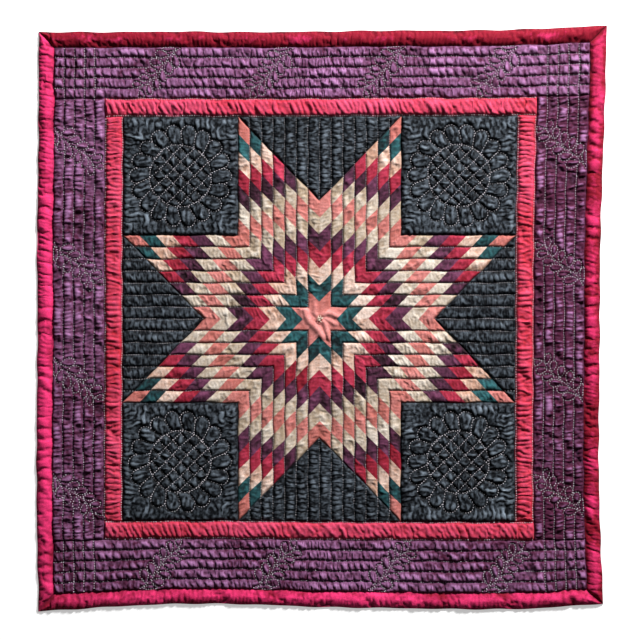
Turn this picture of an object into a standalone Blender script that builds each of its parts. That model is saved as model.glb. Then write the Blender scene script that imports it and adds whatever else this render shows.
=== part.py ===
"""A star quilt, lying flat and face up: a pieced eight-pointed star on a dark ground, a narrow and a
wide border and a mitred binding, with its hand quilting raised on the face.

Metres, +Z up. The top of the quilt is towards +Y. The origin is under the middle of the quilt, on the
surface that it lies on. Every panel goes through the whole depth, from the flat underside to the
quilted face, and is laid out first on a true rectangle, whose lines `bent` then moves into the slightly
uneven shape of the real thing.
"""

import math

import bpy
import numpy as np
from mathutils import Vector
from mathutils.geometry import delaunay_2d_cdt

# Sizes of the flat layout
FIELD_WIDTH = 0.747
FIELD_LENGTH = 0.768
INNER_BORDER = 0.035
OUTER_BORDER = 0.097
BINDING = 0.030
PATCHES = 7  # small diamonds along each side of a star point
GAP = 0.0003  # between one panel and the next

# Depths of the padded cloth
SEAM_Z = 0.0018  # where stitches hold the layers together
PATCH_Z = 0.0060  # middle of a small diamond
MIDDLE_Z = 0.0085  # the loose diamonds round the centre of the star
CHANNEL_Z = 0.0056  # crest between two quilting lines
LEAF_Z = 0.0062
HATCH_Z = 0.0050  # small squares inside a wreath
GROUND_Z = 0.0066  # cloth with no quilting on it
BINDING_Z = 0.0056
FOLD_Z = 0.0018  # outer fold of the binding

# Wreath in a corner square
WREATH_LOBES = 18
WREATH_RADIUS = 0.0972
RING_RADIUS = 0.0590
LOBE_RADIUS = 0.0132
LOBE_HEAD = 6  # points round a lobe's head
LOBE_OPENING = math.radians(100)  # the head reaches this far round each way
LOBE_SWIRL = math.radians(15)  # how far a lobe's tail trails behind its head
HATCH_PITCH = 0.019

# Feather spray in the outer border: it runs along the border while it crosses it from the binding inwards
SPRAYS = 4  # to a side
SPRAY_PITCH = 0.2195
SPRAY_RUN = 0.108
SPRAY_REACH = 0.076
SPRAY_BEND = 0.003
SPRAY_ROOM = 0.036  # the straight lines stop this far from the stem
LEAF_PAIRS = 6
LEAF_FIRST = 0.17  # place of the first pair along the stem, as a share of it
LEAF_STEP = 0.165
LEAF_LENGTH = 0.0285
LEAF_WIDTH = 0.0142
LEAF_TURN = math.radians(40)
LEAF_SHRINK = 0.075  # share that each pair loses to the first
LEAF_CREST = 0.66
# Places along one side of a leaf and how far out it is there, as shares of its length and width
LEAF_HALF = ((0.04, 0.0), (0.34, 0.34), (0.70, 0.50), (0.94, 0.30))

# Tuft at the middle of the star: radius and height of each ring, from its underside up
TIE_SIDES = 16
TIE_HOLLOW_Z = SEAM_Z + GAP
TIE_PROFILE = ((0.0048, 0.0041), (0.0052, 0.0054), (0.0030, 0.0068))
TIE_TOP_Z = 0.0072

CHANNELS = 5  # across the outer border
TRIANGLE_CHANNELS = 2 * PATCHES
MARKS = 14  # stretches that a border's long seam is divided into
LINE_STOP = 0.0015  # a quilting line ends this far from a panel's edge
CREST_STOP = 0.0045
SHORTEST_LINE = 0.010
PATCH_CREST = (0.36, 0.64)  # ends of a small diamond's crest, as shares of its long diagonal
GROUND_CREST = (0.76, 0.88)  # the same in a corner square, from its middle to its corner
BINDING_CRESTS = (0.28, 0.68)  # as shares of the way from the seam to the fold
CREASE_ANGLE = math.radians(16)  # edges sharper than this are shaded sharp

# How far each side lies outside its straight line, in mm, at even stations from one end to the other.
# The top and bottom run from left to right, the left and right from top to bottom. hold says how
# quickly a bow dies away towards the middle of the quilt.
SIDE_BOWS = {
    "top": {"hold": 2.0, "out": (-1, -1, 0, -1, 0, 2, 2, 5, 11)},
    "bottom": {"hold": 4.0, "out": (9, 1, -5, -4, 1, 3, 5, 4, -5)},
    "left": {"hold": 2.0, "out": (-2, -2, -1, 1, 0, 1, 2, 1, -2)},
    "right": {"hold": 2.0, "out": (10, 7, 2, -2, -3, -4, -5, -2, 3)},
}

FIELD = (FIELD_WIDTH / 2, FIELD_LENGTH / 2)
INNER = tuple(half + INNER_BORDER for half in FIELD)
OUTER = tuple(half + OUTER_BORDER for half in INNER)
EDGE = tuple(half + BINDING for half in OUTER)
SIDES = ("right", "top", "left", "bottom")

# Cloth colours, as linear red, green and blue
COLOURS = {
    "salmon": (0.80, 0.27, 0.24),
    "teal": (0.010, 0.10, 0.13),
    "peach": (0.86, 0.62, 0.50),
    "crimson": (0.50, 0.030, 0.075),
    "plum": (0.085, 0.024, 0.075),
    "cream": (0.76, 0.66, 0.46),
    "navy": (0.020, 0.030, 0.042),
    "purple": (0.130, 0.050, 0.150),
    "rose": (0.62, 0.055, 0.110),
    "binding": (0.56, 0.025, 0.065),
    "thread": (0.80, 0.74, 0.60),
}
STAR_ROWS = (
    "salmon", "teal", "peach", "crimson", "plum", "cream", "salmon",
    "cream", "plum", "crimson", "peach", "teal", "salmon",
)


def smooth_between(values, share):
    """The value at this share of the way along evenly spaced values, on a smooth curve through them."""
    place = min(max(share, 0.0), 1.0) * (len(values) - 1)
    first = min(int(place), len(values) - 2)
    t = place - first
    before, start, end, after = (values[min(max(first + k, 0), len(values) - 1)] for k in (-1, 0, 1, 2))
    return 0.5 * (
        2 * start
        + (end - before) * t
        + (2 * before - 5 * start + 4 * end - after) * t**2
        + (3 * start - before - 3 * end + after) * t**3
    )


def side_bow(side, share, reach):
    """How far a side moves a point outwards: share is its place along the side, reach runs from 0 in
    the middle of the quilt to 1 at that side."""
    bow = SIDE_BOWS[side]
    return 0.001 * smooth_between(bow["out"], share) * max(reach, 0.0) ** bow["hold"]


def bent(x, y):
    """A layout point moved to where the real, slightly uneven quilt has it."""
    across, down = 0.5 + x / (2 * EDGE[0]), 0.5 - y / (2 * EDGE[1])
    right = side_bow("right", down, x / EDGE[0]) - side_bow("left", down, -x / EDGE[0])
    up = side_bow("top", across, y / EDGE[1]) - side_bow("bottom", across, -y / EDGE[1])
    return x + right, y + up


def box_middle():
    """The middle of the bent outline's box, which the origin lies under."""
    rim = [bent(x, y) for x in marks(0) for y in (-EDGE[1], EDGE[1])]
    rim += [bent(x, y) for y in marks(1) for x in (-EDGE[0], EDGE[0])]
    rim = np.array(rim)
    return (rim.min(axis=0) + rim.max(axis=0)) / 2


def marks(axis):
    """Layout coordinates along an axis where the seams that follow it have a point, so that two pieces
    that share a seam have the same points on it."""
    inside = np.linspace(-FIELD[axis], FIELD[axis], MARKS + 1)
    outside = [INNER[axis], (INNER[axis] + OUTER[axis]) / 2, OUTER[axis], EDGE[axis]]
    return [-value for value in reversed(outside)] + list(inside) + outside


def field_marks(axis):
    """The same for the seam round the field: the ends of the corner squares' and setting triangles'
    divisions."""
    unit = FIELD[axis] / (1 + math.sqrt(0.5))
    corner = math.sqrt(0.5) * unit
    square = np.linspace(corner, FIELD[axis], PATCHES + 1)
    triangle = np.linspace(-corner, corner, TRIANGLE_CHANNELS + 1)
    return [*(-square[::-1]), *triangle[1:-1], *square]


def star_place(right, up):
    """A layout point given in sides of a star point from the middle of the star."""
    unit = 1 + math.sqrt(0.5)
    return right * FIELD[0] / unit, up * FIELD[1] / unit


def inset(corners, distance):
    """A convex outline, counterclockwise, with each side moved inwards."""
    moved = []
    for k, corner in enumerate(corners):
        here = Vector(corner)
        back = (here - Vector(corners[k - 1])).normalized()
        ahead = (Vector(corners[(k + 1) % len(corners)]) - here).normalized()
        sine = back.x * ahead.y - back.y * ahead.x
        moved.append(tuple(here + (ahead - back) * distance / sine))
    return moved


def between(start, end, share):
    return tuple(a + (b - a) * share for a, b in zip(start, end))


def divided(corners, counts):
    """The outline's corners and the points that divide each side into its count of equal stretches."""
    return [
        between(corner, corners[(k + 1) % len(corners)], step / counts[k])
        for k, corner in enumerate(corners)
        for step in range(counts[k])
    ]


class Quilting:
    """A panel's outline, its stitch lines and its crests in the flat layout, and how high each point
    stands."""

    def __init__(self, outline, rim_heights=None):
        self.points = []
        self.edges = []
        self.heights = []
        self.add(outline, rim_heights or [SEAM_Z] * len(outline), closed=True)

    def add(self, points, heights, closed=False):
        first = len(self.points)
        self.points += [Vector(point) for point in points]
        self.heights += list(heights)
        last = len(self.points) - 1
        self.edges += [(k, k + 1) for k in range(first, last)]
        if closed:
            self.edges.append((last, first))

    def stitch(self, points, closed=False):
        """A line of stitches, which holds the cloth down."""
        self.add(points, [SEAM_Z] * len(points), closed)

    def crest(self, points, height):
        """The top of a puff, as a point or a line."""
        self.add(points, [height] * len(points))

    def triangles(self):
        """Points, heights and faces of the panel's top. Lines that cross meet at the stitch depth."""
        points, _, faces, sources, _, _ = delaunay_2d_cdt(self.points, self.edges, [], 1, 1e-6)
        heights = [min((self.heights[k] for k in found), default=SEAM_Z) for found in sources]
        return points, heights, faces


def closed_panel(quilting):
    """Points, faces of the top and other faces of a solid: the top, walls down from its rim and a flat
    underside."""
    points, heights, top = quilting.triangles()
    used = {}
    for face in top:
        for k, corner in enumerate(face):
            used[(corner, face[(k + 1) % len(face)])] = True
    following = {a: b for a, b in used if (b, a) not in used}
    start = next(iter(following))
    rim = [start]
    while following[rim[-1]] != start:
        rim.append(following[rim[-1]])
    places = [bent(point.x, point.y) for point in points]
    solid = [(x, y, z) for (x, y), z in zip(places, heights)]
    under = {corner: len(solid) + k for k, corner in enumerate(rim)}
    solid += [(*places[corner], 0.0) for corner in rim]
    rest = [
        (corner, under[corner], under[following[corner]], following[corner]) for corner in rim
    ]
    rest.append([under[corner] for corner in reversed(rim)])
    return solid, top, rest


def direction(turn):
    """The unit vector at this angle from +X."""
    return Vector((math.cos(turn), math.sin(turn)))


def cloth(colour):
    """A plain cotton in one of the quilt's colours."""
    name = f"{colour}_cotton"
    material = bpy.data.materials.get(name)
    if material is None:
        material = bpy.data.materials.new(name)
        material.use_nodes = True
        shader = material.node_tree.nodes["Principled BSDF"]
        shader.inputs["Base Color"].default_value = (*COLOURS[colour], 1.0)
        shader.inputs["Roughness"].default_value = 0.85
        shader.inputs["Metallic"].default_value = 0.0
        material.diffuse_color = (*COLOURS[colour], 1.0)
    return material


def place(name, points, faces, colours, parent, face_colours=None):
    """An object with its origin at the middle of its underside."""
    points = np.array(points)
    low, high = points.min(axis=0), points.max(axis=0)
    middle = np.array([(low[0] + high[0]) / 2, (low[1] + high[1]) / 2, low[2]])
    mesh = bpy.data.meshes.new(name)
    mesh.from_pydata([tuple(point) for point in points - middle], [], faces)
    for colour in colours:
        mesh.materials.append(cloth(colour))
    if face_colours:
        mesh.polygons.foreach_set("material_index", face_colours)
    mesh.shade_smooth()
    mesh.set_sharp_from_angle(angle=CREASE_ANGLE)
    obj = bpy.data.objects.new(name, mesh)
    bpy.context.scene.collection.objects.link(obj)
    obj.parent = parent
    obj.location = middle
    return obj


def place_panel(name, quilting, colour, parent):
    """A panel of one colour."""
    solid, top, rest = closed_panel(quilting)
    return place(name, solid, top + rest, [colour], parent)


def star_point(number, parent):
    """A large diamond of small ones, quilted along every seam. Points are numbered counterclockwise
    from +X."""
    turns = [math.radians(45 * (number - 1 + k)) for k in (0, 1)]
    one, two = (star_place(math.cos(turn), math.sin(turn)) for turn in turns)
    tip = (one[0] + two[0], one[1] + two[1])
    corners = inset([(0.0, 0.0), one, tip, two], GAP / 2)

    def patch_corner(i, j):
        low = between(corners[0], corners[1], i / PATCHES)
        high = between(corners[3], corners[2], i / PATCHES)
        return between(low, high, j / PATCHES)

    quilting = Quilting(divided(corners, [PATCHES] * 4))
    for k in range(1, PATCHES):
        quilting.stitch([patch_corner(i, k) for i in range(PATCHES + 1)])
        quilting.stitch([patch_corner(k, j) for j in range(PATCHES + 1)])
    for i in range(PATCHES):
        for j in range(PATCHES):
            height = MIDDLE_Z if i + j == 0 else PATCH_Z
            quilting.crest([patch_corner(i + share, j + share) for share in PATCH_CREST], height)

    solid, top, rest = closed_panel(quilting)
    points, _, _ = quilting.triangles()
    sides = np.linalg.inv(np.array([one, two]).T)
    rows = []
    for face in top:
        middle = np.mean([points[corner] for corner in face], axis=0)
        steps = np.clip(np.floor(sides @ middle * PATCHES), 0, PATCHES - 1)
        rows.append(int(steps.sum()))
    rows += [STAR_ROWS.index("plum")] * len(rest)
    return place(f"star_point_{number}", solid, top + rest, STAR_ROWS, parent, rows)


def wreath_lobe(middle, turn):
    """A lobe's tail on the ring, its stitched outline and the top of its crest."""
    head = Vector(middle) + (WREATH_RADIUS - LOBE_RADIUS) * direction(turn)
    tail = Vector(middle) + RING_RADIUS * direction(turn - LOBE_SWIRL)
    away = math.atan2(head.y - tail.y, head.x - tail.x)
    round_head = [
        head + LOBE_RADIUS * direction(away + lean)
        for lean in np.linspace(-LOBE_OPENING, LOBE_OPENING, LOBE_HEAD)
    ]
    return tail, [tail, *round_head], head


def corner_square(number, parent):
    """A corner of the field with a feather wreath, numbered counterclockwise from the upper right."""
    right, up = ((1, 1), (-1, 1), (-1, -1), (1, -1))[number - 1]
    near, far = math.sqrt(0.5), 1 + math.sqrt(0.5)
    corners = [(near, near), (far, near), (far, far), (near, far)]
    corners = [star_place(right * x, up * y) for x, y in corners]
    if right * up < 0:
        corners.reverse()
    corners = inset(corners, GAP / 2)
    quilting = Quilting(divided(corners, [PATCHES] * 4))
    middle = between(corners[0], corners[2], 0.5)

    step = 2 * math.pi / WREATH_LOBES
    ring = []
    for lobe in range(WREATH_LOBES):
        tail, outline, top = wreath_lobe(middle, lobe * step)
        ring.append(tail)
        quilting.stitch(outline, closed=True)
        quilting.crest([top], LEAF_Z)
    quilting.stitch(ring, closed=True)
    add_hatching(quilting, Vector(middle), RING_RADIUS * math.cos(step / 2) - LINE_STOP)

    for corner in corners:
        quilting.crest([between(middle, corner, share) for share in GROUND_CREST], GROUND_Z)
    return place_panel(f"corner_square_{number}", quilting, "navy", parent)


def add_hatching(quilting, middle, radius):
    """Slanting lines that cross inside a circle, and the crests of the small squares between them."""
    across, along = direction(math.radians(-45)), direction(math.radians(45))
    most = math.floor(radius / HATCH_PITCH)
    for k in range(-most, most + 1):
        off = k * HATCH_PITCH
        half = math.sqrt(radius**2 - off**2)
        for one, other in ((across, along), (along, across)):
            quilting.stitch([middle + one * off + other * end for end in (-half, half)])
    centres = [(k + 0.5) * HATCH_PITCH for k in range(-most - 1, most + 1)]
    for right in centres:
        for up in centres:
            if math.hypot(right, up) < radius - 0.2 * HATCH_PITCH:
                quilting.crest([middle + across * right + along * up], HATCH_Z)


def setting_triangle(number, parent):
    """A triangle between two star points, quilted in lines that carry on the star's seams outwards."""
    ahead, aside = (direction(math.radians(90 * (number + turn))) for turn in (-1, 0))
    near, far = math.sqrt(0.5), 1 + math.sqrt(0.5)
    corners = [ahead, far * ahead - near * aside, far * ahead + near * aside]
    apex, right, left = inset([star_place(*corner) for corner in corners], GAP / 2)
    quilting = Quilting(divided([apex, right, left], [PATCHES, TRIANGLE_CHANNELS, PATCHES]))

    def on_star(share):
        """The point of the two star seams above this share of the base."""
        return between(right, apex, 2 * share) if share < 0.5 else between(apex, left, 2 * share - 1)

    for k in range(1, TRIANGLE_CHANNELS):
        share = k / TRIANGLE_CHANNELS
        quilting.stitch([between(right, left, share), on_star(share)])
    for k in range(TRIANGLE_CHANNELS):
        share = (k + 0.5) / TRIANGLE_CHANNELS
        base, seam = between(right, left, share), on_star(share)
        length = math.dist(base, seam)
        stop = min(CREST_STOP, 0.4 * length)
        crest = [between(base, seam, stop / length), between(base, seam, 1 - stop / length)]
        quilting.crest(crest if length > 4 * CREST_STOP else crest[:1], CHANNEL_Z)
    return place_panel(f"setting_triangle_{number}", quilting, "navy", parent)


def on_side(side, along, out):
    """A layout point given by how far it lies along a side, counterclockwise, and out from the quilt's
    middle."""
    ahead, aside = (direction(math.pi / 2 * (SIDES.index(side) + turn)) for turn in (0, 1))
    return tuple(ahead * out + aside * along)


def axes_of(side):
    """The axis across a side's strip and the one along it."""
    return (0, 1) if side in ("right", "left") else (1, 0)


def border_span(side, near, far):
    """Half the length of a border strip, whose top and bottom run the whole width, and its two seams'
    distances from the quilt's middle."""
    across, along = axes_of(side)
    half = near[along] if across == 0 else far[along]
    return half, near[across], far[across]


def strip_outline(side, span, inner_marks, outer_marks):
    """The four sides of a border strip, with a point at each mark of the seam that they lie on."""
    half, inner, outer = span[0] - GAP / 2, span[1] + GAP / 2, span[2] - GAP / 2
    rim = [(-half, inner)] + [(mark, inner) for mark in within(inner_marks, half)]
    rim += [(half, inner), (half, outer)]
    rim += [(mark, outer) for mark in reversed(within(outer_marks, half))] + [(-half, outer)]
    return [on_side(side, *point) for point in reversed(rim)]


def within(values, half):
    """The values that lie between minus half and half."""
    return [value for value in values if abs(value) < half - 1e-6]


def inner_border(side, parent):
    """A narrow unquilted strip, which puffs up along its middle."""
    _, along = axes_of(side)
    half, inner, outer = span = border_span(side, FIELD, INNER)
    quilting = Quilting(strip_outline(side, span, field_marks(along), marks(along)))
    stops = [CREST_STOP - half, *within(marks(along), half - CREST_STOP), half - CREST_STOP]
    for share in (0.3, 0.7):
        out = inner + share * (outer - inner)
        quilting.crest([on_side(side, stop, out) for stop in stops], GROUND_Z)
    return place_panel(f"inner_border_{side}", quilting, "rose", parent)


def spray_stem(share):
    """A point of the stem, as how far it has run along the border and in from the binding."""
    sway = SPRAY_BEND * math.sin(2 * math.pi * share)
    return Vector((SPRAY_RUN * share + sway, SPRAY_REACH * share - sway))


def spray_starts():
    """Where along a side each spray leaves the binding."""
    return [SPRAY_PITCH * (k - (SPRAYS - 1) / 2) - SPRAY_RUN / 2 for k in range(SPRAYS)]


def spray_leaves():
    """For each leaf of a spray, its stitched outline and the top of its crest, along and in from the
    spray's base."""
    lean = math.atan2(SPRAY_REACH, SPRAY_RUN)
    for pair in range(LEAF_PAIRS):
        root = spray_stem(LEAF_FIRST + LEAF_STEP * pair)
        size = 1 - LEAF_SHRINK * pair
        for side in (-1, 1):
            turn = lean + side * LEAF_TURN
            ahead = direction(turn) * LEAF_LENGTH * size
            aside = direction(turn + math.pi / 2) * LEAF_WIDTH * size
            outline = [root + ahead * share + aside * half for share, half in LEAF_HALF]
            outline += [root + ahead * share - aside * half for share, half in reversed(LEAF_HALF[1:])]
            yield outline, root + ahead * LEAF_CREST


def clear_stretches(half, inwards):
    """The parts of a straight line, at this distance in from the binding, that no spray interrupts."""
    share = min(inwards / SPRAY_REACH, 1.0)
    stretches, here = [], -half
    for start in spray_starts():
        stem = start + spray_stem(share).x
        stretches.append((here, max(stem - SPRAY_ROOM, -half)))
        here = min(stem + SPRAY_ROOM, half)
    stretches.append((here, half))
    return [(low, high) for low, high in stretches if high - low > SHORTEST_LINE]


def outer_border(side, parent):
    """A wide strip quilted in lengthwise channels that feather sprays interrupt. In the corners, which
    the top and bottom strips hold, the lines of both directions cross."""
    across, along = axes_of(side)
    half, inner, outer = span = border_span(side, INNER, OUTER)
    quilting = Quilting(strip_outline(side, span, marks(along), marks(along)))
    channel = OUTER_BORDER / CHANNELS
    lines = [channel * k for k in range(1, CHANNELS)]
    crests = [channel * (k + 0.5) for k in range(CHANNELS)]

    def line(inwards, reach):
        for low, high in clear_stretches(reach, inwards):
            stops = [low, *(mark for mark in marks(along)[::3] if low < mark < high), high]
            yield [on_side(side, stop, outer - inwards) for stop in stops]

    for inwards in lines:
        for stretch in line(inwards, half - LINE_STOP):
            quilting.stitch(stretch)
    for inwards in crests:
        for stretch in line(inwards, INNER[along] - CREST_STOP):
            quilting.crest(stretch, CHANNEL_Z)

    ends = (-INNER[along], INNER[along]) if across == 1 else ()
    for end in ends:
        for past in lines:
            cross = end + math.copysign(past, end)
            quilting.stitch([on_side(side, cross, out) for out in (inner + LINE_STOP, outer - LINE_STOP)])
        for past in crests:
            for inwards in crests:
                cell = on_side(side, end + math.copysign(past, end), outer - inwards)
                quilting.crest([cell], CHANNEL_Z)

    for start in spray_starts():
        for outline, top in spray_leaves():
            leaf = [on_side(side, start + run, outer - inwards) for run, inwards in outline]
            quilting.stitch(leaf, closed=True)
            quilting.crest([on_side(side, start + top.x, outer - top.y)], LEAF_Z)
    return place_panel(f"outer_border_{side}", quilting, "purple", parent)


def binding(side, parent):
    """A padded strip folded over the quilt's edge, mitred at both ends."""
    across, along = axes_of(side)
    seam, fold = OUTER[across] + GAP / 2, EDGE[across]
    # The mitre runs from the seam's corner to the quilt's, held back from its neighbour
    back = GAP / math.sqrt(2)
    seam_end, fold_end = OUTER[along] + GAP / 2 - back, EDGE[along] - back
    between_ends = within(marks(along), OUTER[along])
    rim = [(stop, fold) for stop in (-fold_end, *between_ends, fold_end)]
    rim += [(stop, seam) for stop in (seam_end, *reversed(between_ends), -seam_end)]
    heights = [FOLD_Z if out == fold else SEAM_Z for _, out in rim]
    quilting = Quilting([on_side(side, *point) for point in reversed(rim)], heights[::-1])
    for share in BINDING_CRESTS:
        reach = seam_end + share * (fold_end - seam_end) - CREST_STOP
        stops = (-reach, *between_ends, reach)
        quilting.crest([on_side(side, stop, seam + share * (fold - seam)) for stop in stops], BINDING_Z)
    return place_panel(f"binding_{side}", quilting, "binding", parent)


def centre_tie(parent):
    """A little tuft of thread that gathers the middle of the star: a knot turned from a profile."""
    points = [(0.0, 0.0, TIE_HOLLOW_Z)]
    for distance, height in TIE_PROFILE:
        for turn in np.linspace(0, 2 * math.pi, TIE_SIDES, endpoint=False):
            points.append((distance * math.cos(turn), distance * math.sin(turn), height))
    points.append((0.0, 0.0, TIE_TOP_Z))
    faces = []
    for k in range(TIE_SIDES):
        after = (k + 1) % TIE_SIDES
        faces.append((0, 1 + after, 1 + k))
        for ring in range(len(TIE_PROFILE) - 1):
            low, high = 1 + ring * TIE_SIDES, 1 + (ring + 1) * TIE_SIDES
            faces.append((low + k, low + after, high + after, high + k))
        faces.append((high + k, high + after, len(points) - 1))
    return place("centre_tie", points, faces, ["thread"], parent)


def main():
    for obj in list(bpy.data.objects):
        bpy.data.objects.remove(obj)
    quilt = bpy.data.objects.new("star_quilt", None)
    quilt.location = (*-box_middle(), 0.0)
    bpy.context.scene.collection.objects.link(quilt)
    for number in range(1, 9):
        star_point(number, quilt)
    for number in range(1, 5):
        corner_square(number, quilt)
        setting_triangle(number, quilt)
    for side in SIDES:
        inner_border(side, quilt)
        outer_border(side, quilt)
        binding(side, quilt)
    centre_tie(quilt)


if __name__ == "__main__":
    main()
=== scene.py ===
"""Dresses the star quilt: padded, puckered cotton panels with their hand quilting, laid flat on a pale
floor and seen from straight above.

The top is laid out flat on a true rectangle, as a quilter would piece it. It is then settled at once
as one gathered cloth over the batting, held down along its quilting lines, and each panel takes its
shape from that cloth. At the end `Layout.bent` moves everything into the slightly uneven outline of the
real quilt. Metres, +Z up, the top of the quilt towards +Y.
"""

import logging
import math
from abc import ABC, abstractmethod
from collections.abc import Iterator
from dataclasses import dataclass, field, replace
from enum import Enum
from typing import ClassVar

import bpy
import numpy as np
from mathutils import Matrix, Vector
from mathutils.bvhtree import BVHTree

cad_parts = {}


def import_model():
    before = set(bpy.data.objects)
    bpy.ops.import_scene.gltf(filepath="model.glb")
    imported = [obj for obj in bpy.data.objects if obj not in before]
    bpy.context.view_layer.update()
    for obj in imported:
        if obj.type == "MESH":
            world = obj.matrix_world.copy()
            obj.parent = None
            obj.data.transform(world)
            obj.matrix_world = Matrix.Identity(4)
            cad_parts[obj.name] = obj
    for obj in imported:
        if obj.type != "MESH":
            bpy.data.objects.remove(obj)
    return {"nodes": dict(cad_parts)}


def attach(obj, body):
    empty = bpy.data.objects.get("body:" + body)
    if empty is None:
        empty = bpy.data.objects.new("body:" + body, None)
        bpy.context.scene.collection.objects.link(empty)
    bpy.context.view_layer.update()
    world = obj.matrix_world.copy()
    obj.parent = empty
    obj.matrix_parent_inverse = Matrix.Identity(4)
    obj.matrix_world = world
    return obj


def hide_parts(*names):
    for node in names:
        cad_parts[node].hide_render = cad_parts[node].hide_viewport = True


LOG = logging.getLogger("star_quilt")
MM = 0.001
TINY = 1e-12
STAR_POINTS, CORNERS = 8, 4
# How far a side of the star that slants by an eighth turn reaches along x and along y
SLANT = math.sqrt(0.5)
EIGHTH = math.pi / 4
# The size of the cells of the cloth that settles and of the panels' faces
CELL = 0.00195
# Farther than this from every line the batting is quite free
REACH = 0.018


class Side(Enum):
    """A side of the quilt, counterclockwise from the right. The value counts quarter turns."""

    RIGHT = 0
    TOP = 1
    LEFT = 2
    BOTTOM = 3

    @property
    def word(self) -> str:
        """The side's name in a node's name."""
        return self.name.lower()

    @property
    def across(self) -> int:
        """The axis that crosses a strip on this side."""
        return self.value % 2

    @property
    def along(self) -> int:
        """The axis that runs along a strip on this side."""
        return 1 - self.across

    def place(self, along: np.ndarray | float, out: np.ndarray | float) -> np.ndarray:
        """Turn distances along this side and out from the middle into layout points.

        Args:
            along: How far each point lies along the side, counterclockwise.
            out: How far each point lies out from the middle of the quilt.

        Returns:
            The points, with x and y on the last axis.
        """
        cosine, sine = ((1, 0), (0, 1), (-1, 0), (0, -1))[self.value]
        along, out = np.broadcast_arrays(np.asarray(along, float), np.asarray(out, float))
        return np.stack([cosine * out - sine * along, sine * out + cosine * along], axis=-1)


@dataclass(frozen=True)
class Bow:
    """How far a side lies outside its straight line, in mm at even stations from one end to the other.

    The top and bottom run from left to right, the left and right from top to bottom. hold says how
    quickly the bow dies away towards the middle of the quilt.
    """

    hold: float
    out: tuple[float, ...]

    def at(self, share: np.ndarray, reach: np.ndarray) -> np.ndarray:
        """Measure the bow at some places.

        Args:
            share: The places along the side, from 0 to 1.
            reach: How near to the side each place is, from 0 in the middle of the quilt to 1.

        Returns:
            How far each place moves outwards, in metres.
        """
        place = np.clip(share, 0.0, 1.0) * (len(self.out) - 1)
        first = np.minimum(place.astype(int), len(self.out) - 2)
        t = place - first
        values = np.array(self.out, float)
        before, start, end, after = (
            values[np.clip(first + k, 0, len(self.out) - 1)] for k in (-1, 0, 1, 2)
        )
        curve = 0.5 * (
            2 * start
            + (end - before) * t
            + (2 * before - 5 * start + 4 * end - after) * t**2
            + (3 * start - before - 3 * end + after) * t**3
        )
        return MM * curve * np.maximum(reach, 0.0) ** self.hold


BOWS = {
    Side.TOP: Bow(2.0, (-1, -1, 0, -1, 0, 2, 2, 5, 11)),
    Side.BOTTOM: Bow(4.0, (9, 1, -5, -4, 1, 3, 5, 4, -5)),
    Side.LEFT: Bow(2.0, (-2, -2, -1, 1, 0, 1, 2, 1, -2)),
    Side.RIGHT: Bow(2.0, (10, 7, 2, -2, -3, -4, -5, -2, 3)),
}
# Hand piecing wanders by up to a millimetre: waves over x and y and their phases, to the right and up
WANDER = 0.0005
WANDERS = (((41, 67, 0.8), (-31, 97, 2.1)), ((59, -43, 1.7), (83, 37, 0.3)))


@dataclass(frozen=True)
class Layout:
    """The flat sizes of the quilt's top."""

    field_width: float = 0.747
    field_length: float = 0.768
    inner_border: float = 0.035
    outer_border: float = 0.097
    binding: float = 0.030
    patches: int = 7
    channels: int = 5
    rim_places: int = 181

    @property
    def field(self) -> np.ndarray:
        """Half the field's width and length."""
        return np.array([self.field_width / 2, self.field_length / 2])

    @property
    def inner(self) -> np.ndarray:
        """The same out to the narrow border's outer seam."""
        return self.field + self.inner_border

    @property
    def outer(self) -> np.ndarray:
        """The same out to the wide border's outer seam."""
        return self.inner + self.outer_border

    @property
    def edge(self) -> np.ndarray:
        """The same out to the quilt's edge."""
        return self.outer + self.binding

    @property
    def rings(self) -> tuple[np.ndarray, ...]:
        """Half the width and length of the field, of each border and of the quilt, from the inside out."""
        return self.field, self.inner, self.outer, self.edge

    @property
    def diamond(self) -> np.ndarray:
        """A star point's side, along x and along y."""
        return self.field / (1 + SLANT)

    def star_place(self, right: float, up: float) -> np.ndarray:
        """A layout point given in sides of a star point from the middle of the star."""
        return np.array([right, up]) * self.diamond

    def bent(self, points: np.ndarray) -> np.ndarray:
        """Move layout points to where the real, slightly uneven quilt has them.

        Args:
            points: Layout points, one to a row.

        Returns:
            The same points in the world, with the quilt's box centred on the origin.
        """
        along, end = np.linspace(-1, 1, self.rim_places), np.ones(self.rim_places)
        sides = ((-end, along), (end, along), (along, -end), (along, end))
        rim = self._bowed(self.edge * np.concatenate([np.stack(side, axis=1) for side in sides]))
        return self._bowed(points) - (rim.min(axis=0) + rim.max(axis=0)) / 2

    def _bowed(self, points: np.ndarray) -> np.ndarray:
        """Layout points moved by the bows of the four sides."""
        x, y = points[:, 0], points[:, 1]
        width, length = self.edge
        across, down = 0.5 + x / (2 * width), 0.5 - y / (2 * length)
        right = BOWS[Side.RIGHT].at(down, x / width) - BOWS[Side.LEFT].at(down, -x / width)
        up = BOWS[Side.TOP].at(across, y / length) - BOWS[Side.BOTTOM].at(across, -y / length)
        strayed = [sum(np.sin(a * x + b * y + c) for a, b, c in waves) for waves in WANDERS]
        right, up = right + WANDER * strayed[0], up + WANDER * strayed[1]
        return np.stack([x + right, y + up], axis=1)


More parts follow.
